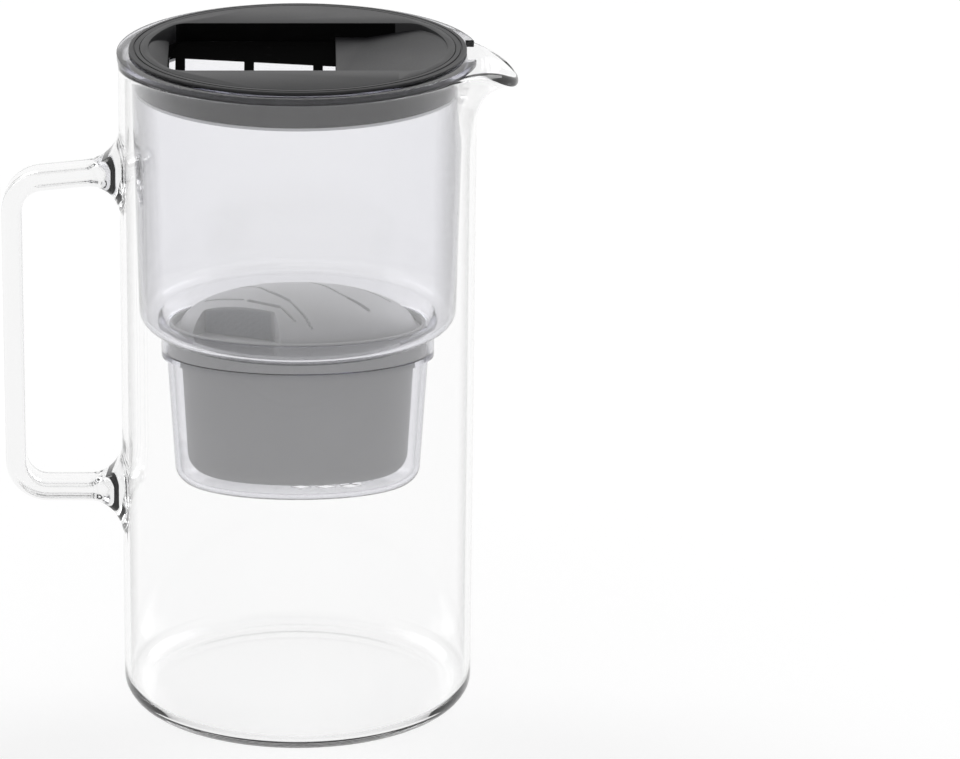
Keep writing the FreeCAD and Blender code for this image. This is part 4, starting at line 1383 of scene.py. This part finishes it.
@dataclass
class Cartridge:
    """Oval filter cartridge: cup, vaulted cap, screens and what they hold."""

    steps: int = 200
    cup_length: float = 45.4
    cup_width: float = 26.0
    cup_taper: float = 2.8
    cup_bottom: float = 92.2
    cup_wall: float = 1.6
    cup_round: float = 9.0
    cup_fillet: float = 0.5
    inside_levels: tuple[float, ...] = (115.0, 130.0)
    plain_rows: tuple[float, float, int] = (105.0, 118.0, 4)  # lowest, highest and count
    smile_rows: tuple[float, float, int] = (120.0, 142.2, 38)
    smile_low: float = 128.0
    smile_rise: float = 11.0
    smile_half: float = 22.0
    smile_slope: float = 1.6
    smile_depth: float = 0.45
    smile_reach: float = 24.0
    smile_fade: float = 6.0
    smile_top: float = 141.0
    smile_top_fade: float = 3.0
    ledge: float = 142.8
    ledge_chamfer: float = 0.3
    band_length: float = 50.4
    band_width: float = 30.0
    band_top: float = 154.8
    band_round: float = 0.8
    cap_length: float = 48.6
    cap_width: float = 28.2
    cap_chamfer: float = 0.4
    cap_wall: float = 1.6
    plate_top: float = 152.0
    plate_under: float = 150.0
    dome_length: float = 46.6
    dome_width: float = 26.2
    dome_height: float = 18.2
    dome_fullness: float = 2.25  # two is an ellipsoid, more is fuller
    dome_fillet: float = 0.6
    dome_foot: float = 0.4
    dome_start: float = 0.012  # angle of the first ring from the top, in radians
    dome_rows: int = 150
    cap_angle: float = 30.0  # degrees above which an edge of the cap stays sharp
    slope: float = 20.7
    niche_start: float = -31.3
    niche_end: float = -2.2
    niche_back: float = -19.5
    niche_reach: float = 12.0
    niche_start_spread: float = 4.0
    niche_end_spread: float = 9.0
    niche_floor: float = 152.1
    hole_radius: float = 1.5
    hole_pitch: float = 9.0
    hole_sides: int = 16
    hole_count: int = 5
    wire_pitch: float = 0.5
    wire_radius: float = 0.14
    least_wire: float = 1.0
    screen_gap: float = 0.5
    screen_inset: float = 0.8
    screen_stand: float = 0.4
    screen_layer: float = 0.16
    outlet_level: float = 95.2
    outlet_lift: float = 0.4
    outlet_gap: float = 0.3
    outlet_pitch: float = 1.2
    outlet_layer: float = 0.12
    felt_gap: float = 0.4
    lower_felt: Pair = (94.9, 98.6)  # underside and top
    upper_felt: Pair = (147.2, 149.8)
    upper_felt_gap: float = 2.0
    carbon: Pair = (122.6, 146.4)
    carbon_foot: float = 122.0
    carbon_foot_gap: float = 2.9
    carbon_top_gap: float = 0.9
    resin: Pair = (99.4, 121.4)
    resin_gaps: Pair = (6.9, 2.7)

    GROOVES: ClassVar[tuple[Groove, ...]] = (
        Groove(((-36.0, 0.4), (-31.4, -2.6), (-26.3, -5.6), (-21.2, -7.8)), 0.6, 1.2),
        Groove(((-18.8, -9.3), (-13.0, -12.5), (-7.0, -15.1)), 1.0, 1.9),
        Groove(((-6.2, -15.8), (-3.8, -18.7), (-1.2, -21.4)), 0.5, 0.85),
        Groove(((-27.1, 12.2), (-23.7, 9.9), (-19.8, 7.2)), 1.1, 2.4),
        Groove(((-19.8, 7.2), (-15.4, 3.2), (-11.1, -3.3)), 0.75, 1.7),
        Groove(((-11.1, -3.3), (-7.2, -7.5), (-3.5, -11.4)), 1.0, 2.0),
        Groove(((-3.5, -11.4), (0.5, -17.2), (3.4, -20.9), (5.1, -23.3)), 0.55, 0.94),
    )

    def cup_size(self, level: float, inset: float = 0.0) -> Size:
        """Gives the cup's oval at a height, narrowed by a distance."""
        grown = self.cup_taper * ((self.ledge - level) / (self.ledge - self.cup_bottom))
        return self.cup_length - grown - inset, self.cup_width - grown - inset, level

    def band(self, out: float, level: float) -> Size:
        """Gives the oval of the cup's band, widened by a distance, at a height."""
        return self.band_length + out, self.band_width + out, level

    def plate(self, out: float, level: float) -> Size:
        """Gives the oval of the cap's plate, widened by a distance, at a height."""
        return self.cap_length + out, self.cap_width + out, level

    def cup_rings(self, inset: float, low: float, corner: float, levels: Sequence[float]) -> list[Size]:
        """Gives the rings of the cup from its floor up.

        Args:
            inset: How far inside the cup's outer face the rings lie.
            low: Height of the floor.
            corner: Radius of the floor's rounded edge.
            levels: Heights of the rings above that edge.

        Returns:
            Half length, half width and height of each ring.
        """
        length, width, _ = self.cup_size(low + corner, inset)
        rings = [((length - corner) * share, (width - corner) * share, low) for share in (0.3, 0.6, 0.9)]
        rings += [(length - corner + out, width - corner + out, level)
                  for out, level in arc(0.0, low + corner, corner, -90, 0, 12)]
        return rings + [self.cup_size(level, inset) for level in levels]

    def smile(self, x: float, z: float) -> float:
        """Gives the depth of the shallow curved step in the cup's long sides.

        Args:
            x: Place along the cup.
            z: Height.

        Returns:
            The depth there.
        """
        curve = self.smile_low + self.smile_rise * (x / self.smile_half) ** 2
        depth = self.smile_depth * clamp((z - curve) / self.smile_slope + 0.5)
        depth *= clamp((self.smile_reach - abs(x)) / self.smile_fade)
        return depth * clamp((self.smile_top - z) / self.smile_top_fade)

    def cup(self, shop: Workshop) -> None:
        """Builds the cup with its band and floor holes, and hands it over.

        Args:
            shop: The workshop.
        """
        edge, wall, ledge = self.band_round, self.cup_wall, self.ledge
        floor_top = self.cup_bottom + wall
        inner = self.cup_rings(wall, floor_top, self.cup_round - wall, (*self.inside_levels, ledge))
        inner += [self.band(-wall - self.ledge_chamfer, ledge + wall),
                  self.band(-wall, ledge + wall + self.ledge_chamfer)]
        inner += [self.band(edge - wall - out, level)
                  for out, level in arc(0.0, self.band_top - edge, edge, 0, 90, 4)]
        outer = self.cup_rings(0.0, self.cup_bottom, self.cup_round,
                               [*np.linspace(*self.plain_rows), *np.linspace(*self.smile_rows)])
        outer += [self.cup_size(ledge, -self.cup_fillet)]
        for low, start, end, steps in ((ledge + edge, -90, 0, 5), (self.band_top - edge, 0, 70, 4)):
            outer += [self.band(out - edge, level) for out, level in arc(0.0, low, edge, start, end, steps)]
        skins = [oval(*size, self.steps) for size in inner]
        skins += [[(x, y - math.copysign(self.smile(x, z), y), z) for x, y, z in oval(*size, self.steps)]
                  for size in outer[::-1]]
        piece = skin("cartridge_cup_body", skins, ((0, 0, floor_top), (0, 0, self.cup_bottom)))
        carve(piece, run_tree("cup_hole_tool", shop.cells, {
            "Sides": self.hole_sides, "Radius": self.hole_radius * MM, "Depth": TOOL_WALLS * wall * MM,
            "Pitch": self.hole_pitch * MM, "Row Gap": self.hole_pitch * MM,
            "Middle Count": self.hole_count, "Outer Count": self.hole_count, "Centre": 0.0,
            "Level": (self.cup_bottom + wall / 2) * MM}))
        shop.hand_over(piece, Body.CARTRIDGE, Slot.FILTER, ("cartridge_cup",))

    def turned(self, along: float, across: float) -> Pair:
        """Gives X and Y of a place measured along and across the niche's slanted back."""
        slope = math.radians(self.slope)
        return (along * math.cos(slope) + across * math.sin(slope),
                across * math.cos(slope) - along * math.sin(slope))

    def niche(self, side: int) -> bpy.types.Object:
        """Builds the cutting tool for a grip niche.

        Args:
            side: One for the front niche, minus one for its half-turn twin.

        Returns:
            The tool.
        """
        start, end, back = self.niche_start, self.niche_end, self.niche_back
        front = back - self.niche_reach
        outline = ((start, back), (end, back), (end + self.niche_end_spread, front),
                   (start - self.niche_start_spread, front))
        places = [self.turned(*place) for place in outline]
        return prism("niche_tool", [(side * x, side * y) for x, y in places], self.niche_floor,
                     self.plate_under + self.dome_height + OVERRUN)

    def dome_rings(self) -> list[Ring]:
        """Builds the outside of the vault from its top down, with its fine lines pressed in.

        Returns:
            The rings.
        """
        low, power = self.plate_top + self.dome_foot, 2 / self.dome_fullness
        low_turn = math.acos(((low - self.plate_under) / self.dome_height) ** (1 / power))
        rings = []
        for turn in np.linspace(self.dome_start, low_turn, self.dome_rows):
            out, rise = math.sin(turn) ** power, math.cos(turn) ** power
            level = self.plate_under + self.dome_height * rise
            ring = np.array(oval(self.dome_length * out, self.dome_width * out, level, 2 * self.steps))
            depth = sum(groove.press(ring[:, :2]) for groove in self.GROOVES)
            normal = (ring - (0, 0, self.plate_under)) / np.square(
                (self.dome_length, self.dome_width, self.dome_height))
            normal /= np.linalg.norm(normal, axis=1)[:, None]
            rings.append((ring - normal * depth[:, None]).tolist())
        return rings

    def cap(self, shop: Workshop) -> None:
        """Builds the vaulted cap with its two niches and hands it over in a paler copy of the filter finish,
        as painted light.

        Args:
            shop: The workshop.
        """
        wall, chamfer, under = self.cap_wall, self.cap_chamfer, self.plate_under
        ledge_top = self.ledge + self.cup_wall
        sizes = [(self.dome_length + self.dome_fillet, self.dome_width + self.dome_fillet, self.plate_top),
                 self.plate(-chamfer, self.plate_top), self.plate(0.0, self.plate_top - chamfer),
                 self.plate(0.0, ledge_top), self.plate(-wall, ledge_top), self.plate(-wall, under),
                 (self.cap_length / 2, self.cap_width / 2, under)]
        skins = self.dome_rings() + [oval(*size, 2 * self.steps) for size in sizes]
        piece = skin("cartridge_cap_vault", skins, ((0, 0, under + self.dome_height), (0, 0, under)))
        for side in (1, -1):
            carve(piece, self.niche(side))
        # painted light: the whole cap takes the paler copy of the cup's grey plastic
        shop.hand_over(piece, Body.CARTRIDGE, Slot.FILTER, ("cartridge_cap",), self.cap_angle, PaintedShading.PAINTED_LIGHT_VAULT)

    def dome_room(self, x: float, y: float) -> float:
        """Gives how high a screen can stand under the vault's surface.

        Args:
            x: Place along the cap.
            y: Place across it.

        Returns:
            The height of the screen's edge there.
        """
        full, out = self.dome_fullness, math.hypot(x / self.dome_length, y / self.dome_width)
        rise = max(1 - out ** full, 0.0) ** (1 / full)
        return self.plate_under + self.dome_height * rise - self.screen_gap

    def inlet_wires(self, side: int) -> list[Wire]:
        """Lays out the wires of an inlet screen.

        Args:
            side: One for the front screen, minus one for the rear one.

        Returns:
            Place, turn and length of each wire.
        """
        wires = []
        low, across = self.niche_floor + self.screen_gap, self.niche_back - self.screen_stand
        alongs = np.arange(self.niche_start + self.screen_inset, self.niche_end - self.screen_inset,
                           self.wire_pitch)
        tops = [self.dome_room(*self.turned(along, across)) for along in alongs]
        for along, high in zip(alongs, tops):
            if high - low > self.least_wire:
                x, y = self.turned(along, across)
                wires.append(((side * x, side * y, (low + high) / 2), (0.0, 0.0, 0.0), high - low))
        lying = (0.0, math.pi / 2, -math.radians(self.slope))
        for level in np.arange(low, max(tops), self.wire_pitch):
            inside = [along for along, high in zip(alongs, tops) if high > level]
            if len(inside) > 1:
                x, y = self.turned((inside[0] + inside[-1]) / 2, across - self.screen_layer)
                wires.append(((side * x, side * y, level), lying, inside[-1] - inside[0]))
        return wires

    def outlet_wires(self) -> list[Wire]:
        """Lays out the wires of the outlet screen.

        Returns:
            Place, turn and length of each wire.
        """
        wires = []
        pitch, layer = self.outlet_pitch, self.outlet_layer
        level = self.cup_bottom + self.cup_wall + self.outlet_lift
        length, width, _ = self.cup_size(self.outlet_level, self.cup_round + self.outlet_gap)
        for along in np.arange(-length + pitch / 2, length, pitch):
            reach = 2 * width * math.sqrt(1 - (along / length) ** 2)
            wires.append(((along, 0.0, level - layer), (math.pi / 2, 0.0, 0.0), reach))
        for aside in np.arange(-width + pitch / 2, width, pitch):
            reach = 2 * length * math.sqrt(1 - (aside / width) ** 2)
            wires.append(((0.0, aside, level + layer), (0.0, math.pi / 2, 0.0), reach))
        return wires

    def screen(self, node: str, wires: Sequence[Wire], shop: Workshop) -> None:
        """Builds a screen from its wires and hands it over.

        Args:
            node: The CAD node that it stands for.
            wires: Place, turn and length of each wire.
            shop: The workshop with the tree.
        """
        mesh = bpy.data.meshes.new(f"{node}_weave")
        mesh.from_pydata([Vector(place) * MM for place, _, _ in wires], [], [])
        turn = mesh.attributes.new("turn", "FLOAT_VECTOR", "POINT")
        turn.data.foreach_set("vector", [value for _, way, _ in wires for value in way])
        reach = mesh.attributes.new("reach", "FLOAT", "POINT")
        reach.data.foreach_set("value", [length * MM for _, _, length in wires])
        piece = run_tree(f"{node}_weave", shop.wires, {
            "Wire Radius": self.wire_radius * MM, "Material": shop.finishes[Slot.MESH]}, mesh)
        shop.hand_over(piece, Body.CARTRIDGE, Slot.MESH, (node,))

    def beds(self) -> tuple[Bed, ...]:
        """Gives the felts and the beds of carbon and resin.

        Returns:
            The beds in the order of their seeds.
        """
        felt = self.cup_size(self.outlet_level, self.cup_round + self.felt_gap)[:2]
        top = self.cup_size(self.ledge, self.upper_felt_gap)[:2]
        carbon_low = (*self.cup_size(self.carbon_foot, self.carbon_foot_gap)[:2], self.carbon[0])
        carbon_high = (top[0] - self.carbon_top_gap, top[1] - self.carbon_top_gap, self.carbon[1])
        resin_low, resin_high = (self.cup_size(*place) for place in zip(self.resin, self.resin_gaps))
        lower, upper = (tuple((*oval_size, level) for level in levels)
                        for oval_size, levels in ((felt, self.lower_felt), (top, self.upper_felt)))
        return (
            Bed("lower_felt_pad", "lower_felt", Slot.FELT, *lower, radius=0.12, gap=1.0, flatness=0.2),
            Bed("upper_felt_pad", "upper_felt", Slot.FELT, *upper, radius=0.12, gap=1.4, flatness=0.2),
            Bed("carbon_grains", "carbon_bed", Slot.CARBON, carbon_low, carbon_high, radius=0.55, gap=1.5,
                flatness=0.7),
            Bed("resin_beads", "resin_bed", Slot.RESIN, resin_low, resin_high, radius=0.5, gap=1.4,
                flatness=1.0, least_scale=0.9))

    def build(self, shop: Workshop) -> None:
        """Builds every piece of the cartridge.

        Args:
            shop: The workshop.
        """
        self.cup(shop)
        self.cap(shop)
        self.screen("inlet_screen_front", self.inlet_wires(1), shop)
        self.screen("inlet_screen_rear", self.inlet_wires(-1), shop)
        self.screen("outlet_screen", self.outlet_wires(), shop)
        for seed, bed in enumerate(self.beds(), 1):
            bed.build(seed, shop)


@dataclass
class Lid:
    """Black lid: outer ring with its skirt, cover with the fill tray, chute and sealing lip."""

    steps: int = 288
    top: float = 265.1
    seat: float = 263.7
    radius: float = 64.9
    rim_round: float = 0.7
    rim_drop: float = 0.05
    seat_chamfer: float = 0.15
    split: float = 60.7
    split_chamfer: float = 0.2
    groove: float = 62.8
    groove_half: float = 0.35
    groove_floor_half: float = 0.22
    groove_depth: float = 0.45
    skirt: float = 61.4
    skirt_wall: float = 2.0
    skirt_high: float = 262.0
    skirt_low: float = 250.7
    skirt_rows: int = 6
    skirt_chamfer: float = 0.3
    seal_low: float = 249.5
    seal_proud: float = 0.05
    seal_inner_round: float = 0.4
    seal_outer_round: float = 0.5
    edge: float = 0.22
    # painted shade: bounds of the fill-opening walls that take the darker recess finish
    painted_shade_end: float = 38.0
    painted_shade_margin: float = 1.5
    painted_shade_steepness: float = 0.7  # least sideways share of a dark face's direction
    sharp_angle: float = 30.0
    lip_sharp_angle: float = 40.0

    def frame(self, shop: Workshop) -> None:
        """Turns the outer ring and its skirt, and hands it over.

        Args:
            shop: The workshop.
        """
        top, split, groove = self.top, self.split, self.groove
        inside, edge, chamfer = self.skirt - self.skirt_wall, self.skirt_chamfer, self.seat_chamfer
        groove_floor, rim = top - self.groove_depth, top - self.rim_drop
        profile = [(split, self.seat), (split, top - self.split_chamfer), (split + self.split_chamfer, top),
                   (groove - self.groove_half, top), (groove - self.groove_floor_half, groove_floor),
                   (groove + self.groove_floor_half, groove_floor), (groove + self.groove_half, rim)]
        profile += arc(self.radius - self.rim_round, rim - self.rim_round, self.rim_round, 80, 0, 5)
        profile += [(self.radius, self.seat + chamfer), (self.radius - chamfer, self.seat),
                    (self.skirt, self.seat)]
        profile += [(self.skirt, level)
                    for level in np.linspace(self.skirt_high, self.skirt_low + edge, self.skirt_rows)]
        profile += [(self.skirt - edge, self.skirt_low), (inside + edge, self.skirt_low),
                    (inside, self.skirt_low + edge), (inside, self.seat)]
        piece = lathe("lid_ring", profile, self.steps)
        shop.hand_over(piece, Body.LID, Slot.BLACK, ("lid_frame",), self.sharp_angle)

    def seal(self, shop: Workshop) -> None:
        """Turns the sealing lip under the skirt and hands it over.

        Args:
            shop: The workshop.
        """
        inside, outside = self.skirt - self.skirt_wall, self.skirt + self.seal_proud
        inner, outer = self.seal_inner_round, self.seal_outer_round
        profile = [(inside, self.skirt_low)]
        profile += arc(inside + inner, self.seal_low + inner, inner, 180, 270, 4)
        profile += arc(outside - outer, self.seal_low + outer, outer, -90, 0, 5)
        profile += [(outside, self.skirt_low)]
        piece = lathe("seal_lip", profile, self.steps)
        shop.hand_over(piece, Body.LID, Slot.SEAL, ("lid_seal",), self.lip_sharp_angle)

    def chute(self, shop: Workshop) -> None:
        """Rounds the edges of the chute and hands it over in the darker black finish, as painted shade."""
        piece = soften(cad_copy("chute_sleeve", shop.nodes["fill_chute"]), self.edge)
        shop.hand_over(piece, Body.LID, Slot.BLACK, ("fill_chute",), self.sharp_angle, PaintedShading.PAINTED_SHADE_RECESS)

    def cover(self, shop: Workshop) -> None:
        """Rounds the edges of the cover, hands it over and paints shade on the walls of its fill opening.

        Args:
            shop: The workshop.
        """
        piece = soften(cad_copy("lid_cover_plate", shop.nodes["lid_cover"]), self.edge)
        work = bmesh.new()
        work.from_mesh(piece.data)
        bmesh.ops.bisect_plane(work, geom=[*work.verts, *work.edges, *work.faces], dist=CUT_DISTANCE * MM,
                               plane_co=(self.painted_shade_end * MM, 0, 0), plane_no=(1, 0, 0))
        work.to_mesh(piece.data)
        work.free()
        shop.hand_over(piece, Body.LID, Slot.BLACK, ("lid_cover",), self.sharp_angle)
        # painted shade: steep walls of the fill opening, inside the ring and short of the cut, take the
        # darker recess finish
        piece.data.materials.append(shop.finishes[PaintedShading.PAINTED_SHADE_RECESS])
        for face in piece.data.polygons:
            inside = face.center.xy.length < (self.split - self.painted_shade_margin) * MM
            steep = abs(face.normal.y) > self.painted_shade_steepness
            face.material_index = int(inside and steep and face.center.x < self.painted_shade_end * MM)

    def build(self, shop: Workshop) -> None:
        """Builds every piece of the lid.

        Args:
            shop: The workshop.
        """
        self.frame(shop)
        self.seal(shop)
        self.chute(shop)
        self.cover(shop)


# Stage

def seen(nodes: Nodes) -> bpy.types.NodeSocket:
    """Tells whether a surface is seen, straight or by way of another, or only lights something.

    Args:
        nodes: The nodes of the surface's material or of the world.

    Returns:
        One where it is seen, otherwise zero.
    """
    path = nodes.add("ShaderNodeLightPath").outputs
    shown = nodes.math("MAXIMUM", path["Is Glossy Ray"], path["Is Transmission Ray"])
    return nodes.math("MAXIMUM", path["Is Camera Ray"], shown)


@dataclass(frozen=True)
class FloorFinish(Finish):
    """Pale floor that looks white where nothing shades it."""

    name: str = "studio_floor"
    dark: Colour = grey(0.595)
    light: Colour = grey(0.605)
    dark_place: float = 0.3
    light_place: float = 0.7
    cloud_scale: float = 3.0
    glow: float = 0.44

    def surface(self, nodes: Nodes, grain: bpy.types.NodeTree) -> dict[str, bpy.types.NodeSocket]:
        """Builds a faintly clouded face that glows a little where it is seen.

        Args:
            nodes: The material's nodes.
            grain: The shared grain group, which the floor doesn't show.

        Returns:
            What goes into the material's output, by input name.
        """
        cloud = nodes.add("ShaderNodeTexNoise", {"Vector": nodes.place(), "Scale": self.cloud_scale})
        colour = nodes.ramp(cloud.outputs["Fac"],
                            ((self.dark_place, self.dark), (self.light_place, self.light)))
        diffuse = nodes.add("ShaderNodeBsdfDiffuse", {"Color": colour})
        glow = nodes.add("ShaderNodeEmission", {"Strength": nodes.math("MULTIPLY", seen(nodes), self.glow)})
        both = nodes.add("ShaderNodeAddShader")
        for target, shader in zip(both.inputs, (diffuse, glow)):
            nodes.plug(target, shader.outputs[0])
        return {"Surface": both.outputs[0]}


@dataclass(frozen=True)
class Lamp:
    """Wide soft lamp far away that shines towards the origin."""

    name: str
    place: Point
    strength: float
    spread: float = 40.0

    def build(self) -> None:
        """Makes the lamp."""
        data = bpy.data.lights.new(self.name, "SUN")
        data.energy = self.strength
        data.angle = math.radians(self.spread)
        lamp = bpy.data.objects.new(self.name, data)
        lamp.location = Vector(self.place) * MM
        lamp.rotation_euler = (-Vector(self.place)).to_track_quat("-Z", "Y").to_euler()
        bpy.context.scene.collection.objects.link(lamp)


@dataclass
class Studio:
    """Pale floor, soft light and the camera."""

    image_width: int = 960
    focal_pixels: float = 5138.5
    axis_pixel: float = 297.7
    camera_back: float = 1902.97
    camera_height: float = 788.94
    camera_pitch: float = 19.1007
    sensor: float = 36.0
    floor_half: float = 4000.0
    floor_level: float = -0.2
    plain_light: float = 0.5
    white: float = 1.0
    most_bounces: int = 32
    transmission_bounces: int = 28
    glossy_bounces: int = 8

    LAMPS: ClassVar[tuple[Lamp, ...]] = (
        Lamp("rear_light_near_handle", (-1100, 900, 1200), 1.0),
        Lamp("rear_light_near_spout", (1100, 900, 1200), 1.2),
    )

    def camera(self) -> None:
        """Makes the camera at the photograph's viewing angle."""
        data = bpy.data.cameras.new("camera")
        data.sensor_width = self.sensor
        data.lens = self.focal_pixels * self.sensor / self.image_width
        data.shift_x = (self.image_width / 2 - self.axis_pixel) / self.image_width
        camera = bpy.data.objects.new("camera", data)
        camera.location = Vector((0, -self.camera_back, self.camera_height)) * MM
        camera.rotation_euler = (math.radians(90 - self.camera_pitch), 0, 0)
        bpy.context.scene.collection.objects.link(camera)
        bpy.context.scene.camera = camera

    def floor(self, shop: Workshop) -> None:
        """Args:
            shop: The workshop with the grain group.
        """
        half, level = self.floor_half, self.floor_level
        corners = [(-half, -half, level), (half, -half, level), (half, half, level), (-half, half, level)]
        floor = make_piece("studio_floor", corners, [(0, 1, 2, 3)])
        floor.data.materials.append(FloorFinish().make(shop.mould_grain))

    def world(self) -> None:
        """Makes the white surroundings: plain light on the object, pure white where they are seen."""
        world = bpy.data.worlds.new("studio")
        world.use_nodes = True
        world.node_tree.nodes.clear()
        nodes = Nodes(world.node_tree)
        more = nodes.math("MULTIPLY", seen(nodes), self.white - self.plain_light)
        light = nodes.add("ShaderNodeBackground", {
            "Color": (*grey(self.white), 1.0), "Strength": nodes.math("ADD", more, self.plain_light)})
        nodes.add("ShaderNodeOutputWorld", {"Surface": light.outputs[0]})
        bpy.context.scene.world = world

    def build(self, shop: Workshop) -> None:
        """Builds the stage, the lamps and the camera.

        Args:
            shop: The workshop.
        """
        self.camera()
        self.floor(shop)
        self.world()
        for lamp in self.LAMPS:
            lamp.build()
        cycles = bpy.context.scene.cycles
        cycles.max_bounces = self.most_bounces
        cycles.transmission_bounces = self.transmission_bounces
        cycles.transparent_max_bounces = self.most_bounces
        cycles.glossy_bounces = self.glossy_bounces
        bpy.context.scene.view_settings.view_transform = "Standard"


def main() -> None:
    """Builds the pitcher's looks around the CAD frame."""
    logging.basicConfig(level=logging.INFO, format="%(name)s %(message)s")
    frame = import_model()
    shop = Workshop(frame)
    Studio().build(shop)
    for assembly in (Carafe(), Hopper(), Cartridge(), Lid()):
        assembly.build(shop)


if __name__ == "__main__":
    main()
